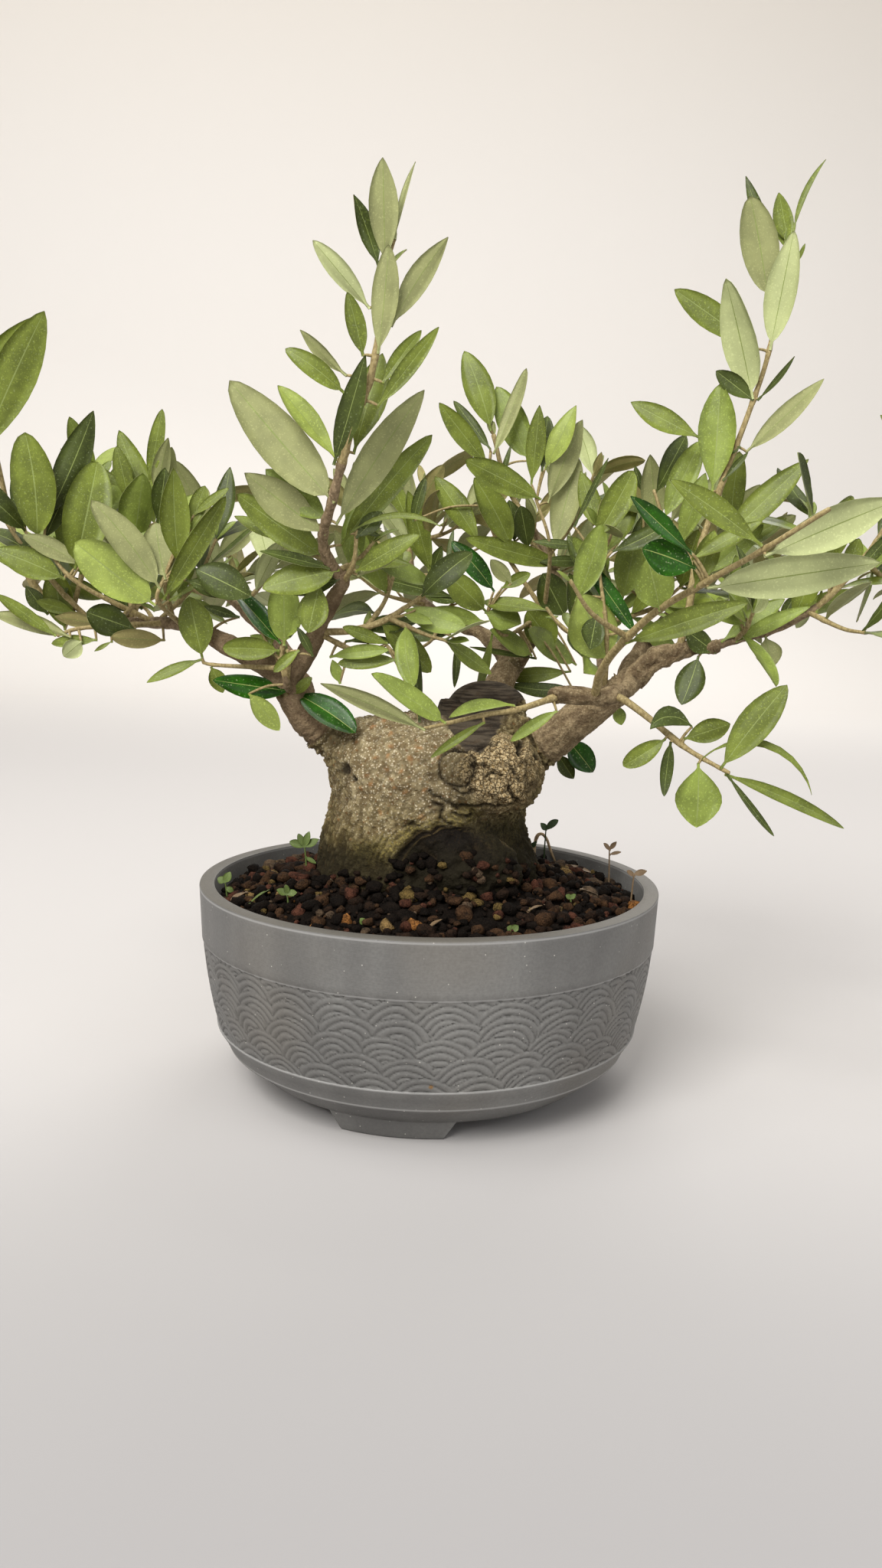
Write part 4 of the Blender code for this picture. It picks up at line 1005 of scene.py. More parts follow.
wander = roughness_at(skin_points, 6.0, seed=31, octaves=3)
mark_across = seen_across + WARP * roughness_at(skin_points, 3.0, seed=32, octaves=2)
mark_down = seen_down + WARP * roughness_at(skin_points, 3.0, seed=33, octaves=2)
trunk_share = 1 - bough_share
cracks = np.zeros(len(skin_points))
for line in BARK_CRACKS:
    cracks = np.maximum(cracks, ramp(-line_gap(line), -3.4 - 0.8 * wander, -0.8))
knot = oval(*KNOT)
knot_eye = oval(*KNOT_EYE)
scar = oval(*SCAR_HOLE)
pits = np.minimum(*(oval(*pit) for pit in SIDE_PITS))
burl = patch(BURL_ZONE, 1.1, 0.75, 0.12)
# Painted shade on the burl's right side, and the knot's own olive brown.
burl_shade_and_knot_tint = np.maximum(patch(BURL_SHADE, 1.3, 0.5), 0.9 * patch(KNOT, 1.05, 0.8, 0))
pale = patch(PALE_ZONE, 1.4, 0.6)
stub_face = patch(STUB_FACE, 1.05, 0.93, 0.08)
on_stump = ((wood_number == 0) & (height_at > 121)).astype(float)
stub = np.maximum(stub_face, on_stump * ramp(height_at + 2 * wander, 121, 126))
arch = np.hypot((mark_across - ARCH[0]) / ARCH[2], (mark_down - ARCH[1]) / ARCH[3])
arch[skin_points[:, 1] >= -4] = 99.0
right_of_arch = ramp(mark_across, 596, 640)
rot = ramp(-arch, -1.06 - 0.5 * right_of_arch, -0.96 + 0.35 * right_of_arch)
crust = patch(CRUST_TUFT, 1.2, 0.7)
ridge = ramp(-line_gap(YELLOW_RIDGE), -26, -4) * (1 - rot)
print("crack points:", int((cracks > 0.5).sum()), "rotten:", int((rot > 0.5).sum()))

# %% Relief of the bark
WART_SIZE = 1.75
LAYERS_IN_ARCH = 56
PLATE_SIZE = 2.3


def shape_bark():
    """How far each point moves out, in mm, and the masks that its colours read."""
    lump = roughness_at(skin_points, 15.0, seed=1, octaves=2)
    rough = roughness_at(skin_points, 3.6, seed=2, octaves=4)
    squeezed = (skin_points + 0.9 * roughness_at(skin_points, 3.0, seed=34, octaves=2)[:, None]) * (1, 1, 0.8)
    nearest, _, owner = cells_at(squeezed, WART_SIZE, seed=3)
    wart_ring = np.exp(-((nearest - 0.28) / 0.14) ** 2) * (owner > 0.15)
    wart_gap = ramp(nearest, 0.46, 0.66)
    plate_near, plate_second, plate_owner = cells_at(squeezed + 0.7 * wander[:, None], PLATE_SIZE, seed=9)
    seam = ramp(-(plate_second - plate_near), -0.22, -0.04)
    behind = 1 - facing
    warty = trunk_share * np.clip(1 - 0.55 * pale - burl - stub, 0, 1) * (1 - rot)
    crusty = np.clip(burl + trunk_share * behind * ramp(lump, 0.0, 0.6), 0, 1) * (1 - stub) * (1 - rot)
    out = 1.1 * trunk_share * lump * (1 - pale * 0.6) * (1 - stub)
    out += (0.45 * trunk_share * (1 - 0.7 * pale) + 0.12 * bough_share) * rough * (1 - 0.8 * stub)
    out += warty * (0.42 * wart_ring - 0.28 * wart_gap)
    out += 0.12 * pale * (wart_ring - wart_gap)
    out += crusty * (0.45 * (plate_owner - 0.5) - 0.45 * seam + 0.45 * rough) * (knot > 1.15)
    out -= 1.1 * cracks
    out += np.where(knot < 1, 1.0 * np.sqrt(np.clip(1 - knot ** 2, 0, 1)), 0)
    knot_groove = np.exp(-((knot - 1.04) / 0.10) ** 2)
    eye_groove = np.exp(-((knot_eye - 1.0) / 0.13) ** 2) * (knot < 1.0)
    out -= 0.9 * knot_groove + 0.4 * eye_groove
    scar_hole = ramp(-scar, -1.0, -0.5)
    out += 0.8 * np.exp(-((scar - 1.4) / 0.3) ** 2) - 1.8 * scar_hole
    pit_hole = ramp(-pits, -1.15, -0.5)
    out -= 1.3 * pit_hole
    for across, down, radius in RING_KNOTS:
        gap = oval(across, down, radius, radius)
        out += 0.5 * np.exp(-((gap - 0.9) / 0.28) ** 2) - 0.4 * np.exp(-((gap - 0.45) / 0.2) ** 2)
    rust = np.zeros(len(out))
    for across, down in LENTICELS:
        rust = np.maximum(rust, patch((across, down, 4.4, 3.6), 1.2, 0.4, 0))
    out += 0.25 * rust
    shadow = patch(STUB_SHADOW, 1.1, 0.5, 0)
    out -= 0.9 * stub_face + 1.5 * shadow
    layers = np.cos((arch + 0.05 * wander + 0.03 * lump) * LAYERS_IN_ARCH)
    left_of_arch = ramp(-mark_across, -640, -600) * facing * trunk_share
    layered = ramp(arch, 0.78, 0.88) * ramp(-arch, -1.75, -1.25)
    layered = layered * left_of_arch * ramp(-mark_down, -1150, -1120)
    out += 0.28 * layers * layered + rot * (1.3 * rough * (1 - layered) - 0.7)
    out += 0.9 * crust * (1 + rough)
    out += ridge * (0.5 + 0.5 * rough) * trunk_share
    stretched = wood_offset + wood_tangent * (wood_mark / 6.0)[:, None]
    fibre = roughness_at(stretched, 1.5, seed=14, octaves=3)
    knuckle = roughness_at(skin_points, 5.5, seed=17, octaves=2)
    rugged = bough_share * ramp(wood_mark, 52, 66) * (wood_number == 2)
    out += bough_share * (0.30 * fibre + 0.45 * knuckle) + rugged * (0.9 * knuckle + 0.5 * rough)
    collar = np.exp(-((wood_mark - cut_marks) / 5.0) ** 2) * (wood_number > 0) * (wood_radius < BOUGH_REACH)
    out += collar * 0.4 * np.sin(wood_mark * 2.4 + 3 * wander) * (cut_marks > 0)
    # Painted shade: darker in the cracks, the knot's grooves, the holes and pits, the seams between plates,
    # the troughs of the arch's layers and the shadow under the stub.
    dark = np.clip(0.85 * cracks + 0.9 * knot_groove + 0.45 * eye_groove + scar_hole + pit_hole
                   + 0.4 * seam * crusty + shadow + 0.5 * ramp(-layers, 0.3, 0.9) * layered, 0, 1)
    # Painted shade in the hollows of the relief.
    hollow_shade = ramp(-(rough + 0.4 * lump), 0.2, 1.0)
    foot = ramp(-height_at + 4 * wander, -91, -78) * trunk_share
    found = {"dark": dark, "hollow_shade": hollow_shade, "rust": rust * (1 - dark), "fibre": 0.5 + 0.5 * fibre,
             "wart": wart_ring * warty, "gap": wart_gap * np.clip(warty + 0.25 * pale, 0, 1), "foot": foot,
             "layers": (0.5 + 0.5 * layers) * layered}
    return out, found


relief, masks = shape_bark()
front_moss = np.clip(ridge + 0.5 * crust, 0, 1) * (1 - 0.7 * burl)
low_moss = ramp(-height_at + 6 * wander, -104, -84) * ramp(-seen_across + 8 * wander, -600, -560)
low_moss = low_moss * ramp(seen_across + 8 * wander, 455, 510) * facing
back_moss = (1 - facing) * ramp(-height_at + 10 * wander, -98, -80) * ramp(wander, -0.3, 0.5)
masks["moss"] = np.clip(0.85 * front_moss + 0.3 * low_moss + 0.6 * back_moss, 0, 1) * (1 - rot) * trunk_share
back_pale = 0.45 * (1 - facing) * ramp(height_at + 9 * wander, 96, 112)
masks["pale"] = np.clip(pale + back_pale, 0, 1) * trunk_share
masks["burl"] = burl * trunk_share
masks["shade"] = burl_shade_and_knot_tint * trunk_share
masks["rot"] = rot
# Darker olive low on the trunk's right front.
masks["low_right_dark"] = ramp(-height_at + 4 * wander, -98, -86) * ramp(seen_across, 585, 625) * facing * trunk_share
masks["olive"] = ramp(-seen_across + 6 * wander, -500, -440) * facing * trunk_share
masks["stub"] = stub
bark_points = skin_points + relief[:, None] * skin_normals
print("relief from", round(float(relief.min()), 2), "to", round(float(relief.max()), 2), "mm")

# %% [markdown]
# The bark's finish starts from browns, and every mask pulls it towards what shows there: pale grey cream with
# orange pores on the upper trunk, olive warts on the left, beige plates on the burl, yellow green moss above
# the roots and black rot in the arch. Painted shade darkens every crack, groove, hole and hollow, the gaps
# between warts and the spot under the stub, and the pale pebbles and wart rings are partly painted
# highlights.

# %% Finish of the bark
def make_bark_finish(name, dark, light):
    """Bark between two browns. The trunk and the boughs share all of its marks."""
    bark = Finish(name, 0.86, Specular_IOR_Level=0.12)
    mark = bark.attribute
    coarse = bark.noise(4.0, detail=4, roughness=0.6)
    fine = bark.noise(0.8, detail=4, roughness=0.65)
    streaks = bark.noise(1.4, bark.place((0.16, 0.16, 1.8)), detail=4)
    bent = bark.bent_place(1.2, 0.7)
    pebbles = bark.cells(0.95, bark.bent_place(2.0, 0.4))
    pores = bark.cells(2.5, bark.bent_place(1.6, 0.6))
    cracks = bark.cells(1.5, bent, "DISTANCE_TO_EDGE")
    on_trunk = 1 - mark("bough")
    cream = bark.blend(coarse.step(0.3, 0.7), (118, 102, 73), (162, 149, 116))
    # Pale centres of the pebbles: pale bark with painted glints.
    cream = bark.blend((1 - pebbles.step(0.16, 0.42)) * 0.85, cream, (220, 208, 180))
    cream = bark.blend((1 - bark.cells(1.5, bent).step(0.1, 0.36)) * 0.7, cream, (112, 88, 56))
    plates = bark.blend(fine.step(0.36, 0.62), (138, 112, 70), (222, 200, 156))
    # Painted shade in the burl's cracks.
    plates = bark.blend((1 - cracks.step(0.01, 0.09)) * 0.8, plates, (52, 40, 27))
    ridges = bark.blend(mark("layers").step(0.55, 0.95) * 0.75, (22, 18, 14), (88, 74, 46))
    bark.tone = bark.blend((coarse * 0.5 + fine * 0.5).step(0.38, 0.62), dark, light)
    for share, shade in (
            # Pale centres of the pebbles: pale bark with painted glints.
            ((1 - pebbles.step(0.1, 0.42)) * 0.45, (178, 164, 130)),
            ((1 - mark("fibre").step(0.15, 0.55)) * mark("bough") * 0.55, (78, 62, 46)),
            (mark("left") * 0.5, (126, 106, 84)),
            (mark("olive") * 0.75, (76, 66, 34)),
            # Raised wart rings: paler bark, partly painted highlight.
            (mark("wart") * 0.5, (160, 146, 108)),
            (mark("pale") * 0.92, cream),
            ((1 - pores.step(0.12, 0.26)) * on_trunk * 0.65, (120, 86, 50)),
            ((1 - pores.step(0.02, 0.1)) * on_trunk * 0.5, (66, 48, 30)),
            (mark("burl") * 0.92, plates),
            # Painted shade on the burl's right side, and the knot's own olive brown tint.
            (mark("shade") * 0.5, (78, 68, 44)),
            (mark("rust") * 0.75, (150, 108, 66)),
            # Painted shade in the gaps between warts.
            (mark("gap") * 0.62, (66, 54, 34)),
            (mark("moss") * (0.35 + 0.7 * fine.step(0.36, 0.62)),
             bark.blend(fine.step(0.4, 0.68), (88, 80, 42), (142, 128, 76))),
            # Darker olive low on the trunk's right front.
            (mark("low_right_dark") * 0.85, bark.blend(fine.step(0.4, 0.66), (26, 24, 13), (64, 60, 32))),
            (mark("stub"), bark.blend(streaks.step(0.36, 0.64), (46, 40, 33), (82, 73, 61))),
            (mark("rot"), bark.blend(fine.step(0.5, 0.74) * 0.4, ridges, (60, 48, 31))),
            # Painted shade in the hollows of the relief.
            (mark("hollow_shade") * 0.4, (64, 50, 34)),
            (mark("foot") * 0.9, (30, 26, 15)),
            # Painted shade in cracks, grooves, holes and under the stub.
            (mark("dark") * 0.9, (26, 20, 14))):
        bark.lay(share, shade)
    bark.paint()
    bark.gloss(0.95 - 0.1 * mark("rot"))
    relief = bark.bump(coarse * (1 - 0.8 * mark("stub")), 0.5)
    relief = bark.bump(fine * (1 - 0.6 * mark("stub")), 0.6, relief)
    relief = bark.bump((1 - pebbles) * (1 - mark("burl")), 0.2, relief)
    bark.bump(cracks.step(0.0, 0.12) * mark("burl"), 0.3, relief)
    return bark


# %% Part the skin into trunk and boughs
masks["bough"] = bough_share
masks["left"] = np.isin(wood_number, (1, 4, 5)) * bough_share


def set_wood(name, chosen, browns, slot, replaced):
    """A piece from the faces of the skin that are chosen."""
    used, faces = np.unique(skin_faces[chosen], return_inverse=True)
    mesh = make_mesh(name, bark_points[used], [faces.reshape(-1, 4)])
    for mask, values in masks.items():
        give_values(mesh, mask, values[used])
    give_finishes(mesh, [make_bark_finish(slot, *browns)])
    set_piece(mesh, replaced)


on_bough = bough_share[skin_faces].mean(axis=1) > 0.5
BOUGH_NODES = [wood.name for wood in WOOD[1:]]
set_wood("trunk_wood", ~on_bough, ((74, 64, 40), (126, 112, 76)), "trunk_bark", ["trunk"])
set_wood("bough_wood", on_bough, ((106, 90, 66), (150, 132, 102)), "bough_bark", BOUGH_NODES)
bark_tree = BVHTree.FromPolygons(bark_points.tolist(), skin_faces.tolist())

# %% [markdown]
# The crown grows by the rule that made the solids, written out again here. Each mass of leaves
# has a stem on its bough, and shoots that branch from the stem: the share of the stem where each
# leaves it, its tip, how many pairs of leaves it bears and how long they are. Leaves stand in
# pairs, each pair a quarter turn from the last. A mass also says how wide its leaves are for their
# length, how thick its stem is at both ends, its seed, and what its stem itself bears.

# %% Stems and shoots of the masses
Shoot = namedtuple("Shoot", "at tip pairs leaf")
Mass = namedtuple("Mass", "name slender thick seed pairs leaf route shoots")


def mass_of(name, slender, thick, seed, pairs, leaf, route, *shoots):
    return Mass(name, slender, thick, seed, pairs, leaf, route, [Shoot(*shoot) for shoot in shoots])


MASSES = (
    mass_of("leader", 0.28, (1.7, 0.7), 11, 0, 0,
            ((-29.2, -26, 167), (-34.5, -36, 178), (-30.7, -48, 190), (-24.7, -57, 209), (-19, -60, 224),
            (-15.8, -58, 250)),
            (0.05, (-20, -24, 180), 3, 24), (0.1, (-44, -22, 180), 2, 24)),
    mass_of("right_leader", 0.28, (1.35, 0.55), 12, 0, 0,
            ((79.5, -11, 148), (80.5, -12.5, 155), (81.5, -14, 163), (83, -14, 177), (88.8, -14, 199),
            (96.9, -14, 224), (102, -14, 243), (105.5, -13, 273)),
            (0.16, (98, 4, 190), 3, 28), (0.22, (70, -4, 200), 3, 28)),
    mass_of("front_spray", 0.25, (1.4, 0.6), 13, 0, 0,
            ((49.5, -32.5, 134), (49.6, -37, 138), (49.7, -42, 142), (52.2, -52, 149), (59.7, -70, 160),
            (68.3, -88, 167.5), (78, -104, 175), (89, -119, 184)),
            (0.3, (36, -72, 168), 3, 26)),
    mass_of("drooping_spray", 0.34, (1.3, 0.55), 14, 0, 0,
            ((55.5, -29.5, 134.8), (58.5, -34, 133.5), (61.5, -37, 131.5), (66, -42, 128),
            (75.4, -50, 120.5), (85.5, -60, 115))),
    mass_of("low_front_spray", 0.3, (1.15, 0.5), 15, 0, 0,
            ((39.5, -32.5, 134.5), (25.6, -42, 130.5), (14.8, -48, 129), (-2.6, -58, 125.5))),
    mass_of("right_tip", 0.28, (1.4, 0.6), 16, 4, 28,
            ((88.5, -12, 149.5), (97, -14, 152.5), (108, -18, 156), (121, -24, 165), (135, -28, 184),
            (140, -30, 200)),
            (0.12, (104, -24, 172), 3, 28), (0.3, (122, 2, 170), 3, 28), (0.42, (126, -48, 156), 3, 28),
            (0.55, (118, -18, 192), 3, 28), (0.7, (148, -16, 170), 3, 28)),
    mass_of("low_right_spray", 0.4, (1.1, 0.6), 25, 0, 0,
            ((51, -9, 127.5), (51, 0, 126), (50, 6, 122.5), (49, 9, 118))),
    mass_of("right_inner", 0.35, (1.5, 0.7), 17, 4, 28,
            ((56, -10, 131.5), (55.5, -5, 139), (56, 2, 148), (60, 8, 164), (70, 10, 184)),
            (0.15, (42, -14, 156), 3, 26), (0.3, (38, 6, 172), 3, 26), (0.5, (82, 0, 170), 3, 26),
            (0.62, (52, -6, 188), 3, 26), (0.75, (74, 30, 188), 3, 26)),
    mass_of("left_crown", 0.3, (1.9, 0.7), 18, 0, 0,
            ((-75, -8, 150), (-86, -6, 153), (-108, -4, 153), (-121, -3, 155), (-137, 0, 170),
            (-148, 2, 216)),
            (0.1, (-89, -12, 176), 3, 33), (0.15, (-76, 14, 182), 3, 30), (0.22, (-100, 22, 196), 3, 31),
            (0.27, (-94, -30, 163), 2, 28), (0.34, (-131, -8, 179), 3, 33), (0.4, (-116, 10, 200), 3, 31),
            (0.47, (-138, -32, 158), 3, 31), (0.55, (-138, 28, 176), 3, 31)),
    mass_of("left_inner", 0.42, (1.4, 0.7), 19, 0, 0,
            ((-47.5, -8, 132), (-47.5, -15, 133.5), (-48, -18.5, 138), (-49, -19, 144), (-48, -20, 150))),
    mass_of("inner_spray", 0.36, (1.3, 0.7), 20, 4, 25,
            ((-38.3, -16, 151.5), (-33, -18, 151.8), (-26, -20, 152.5), (-16, -20, 156), (-4, -18, 164)),
            (0.25, (-22, -34, 146), 2, 24), (0.45, (-18, -4, 172), 3, 26), (0.65, (4, -26, 150), 2, 24)),
    mass_of("back_left_crown", 0.31, (1.6, 0.8), 21, 4, 31,
            ((-68, 38, 156), (-79, 48, 164), (-86, 58, 180), (-88, 62, 200)),
            (0.12, (-60, 56, 182), 3, 29), (0.24, (-104, 44, 172), 3, 31), (0.38, (-78, 86, 172), 3, 31),
            (0.52, (-112, 66, 190), 3, 31)),
    mass_of("back_centre_crown", 0.32, (1.6, 0.8), 22, 4, 30,
            ((2, 61, 158), (-7, 66, 166), (-11, 70, 184), (-6, 72, 208)),
            (0.12, (-30, 58, 172), 3, 29), (0.32, (-14, 94, 176), 3, 30), (0.46, (-34, 74, 198), 3, 29),
            (0.6, (12, 60, 196), 2, 28)),
    mass_of("back_right_crown", 0.31, (1.6, 0.8), 23, 0, 0,
            ((41, 52, 160), (46, 55, 171), (38, 58, 188), (26, 60, 207), (20, 60, 226)),
            (0.12, (70, 54, 190), 3, 29), (0.22, (50, 88, 182), 3, 30), (0.32, (58, 54, 212), 4, 29),
            (0.46, (16, 84, 200), 3, 29)),
    mass_of("right_back_crown", 0.31, (1.6, 0.8), 24, 4, 30,
            ((88, 36, 163), (96, 42, 174), (100, 46, 192)),
            (0.15, (114, 26, 176), 3, 30), (0.3, (86, 60, 186), 3, 29), (0.5, (120, 56, 188), 3, 30)),
)

# %% [markdown]
# The leaves that the photograph shows plainly are listed by where they show in it: the foot, the tip and the
# width in its pixels, and the shade. They stand in sprays. A spray may have a twig that leaves the mass's
# wood, and each has a depth, because a photograph doesn't tell how near a leaf is.

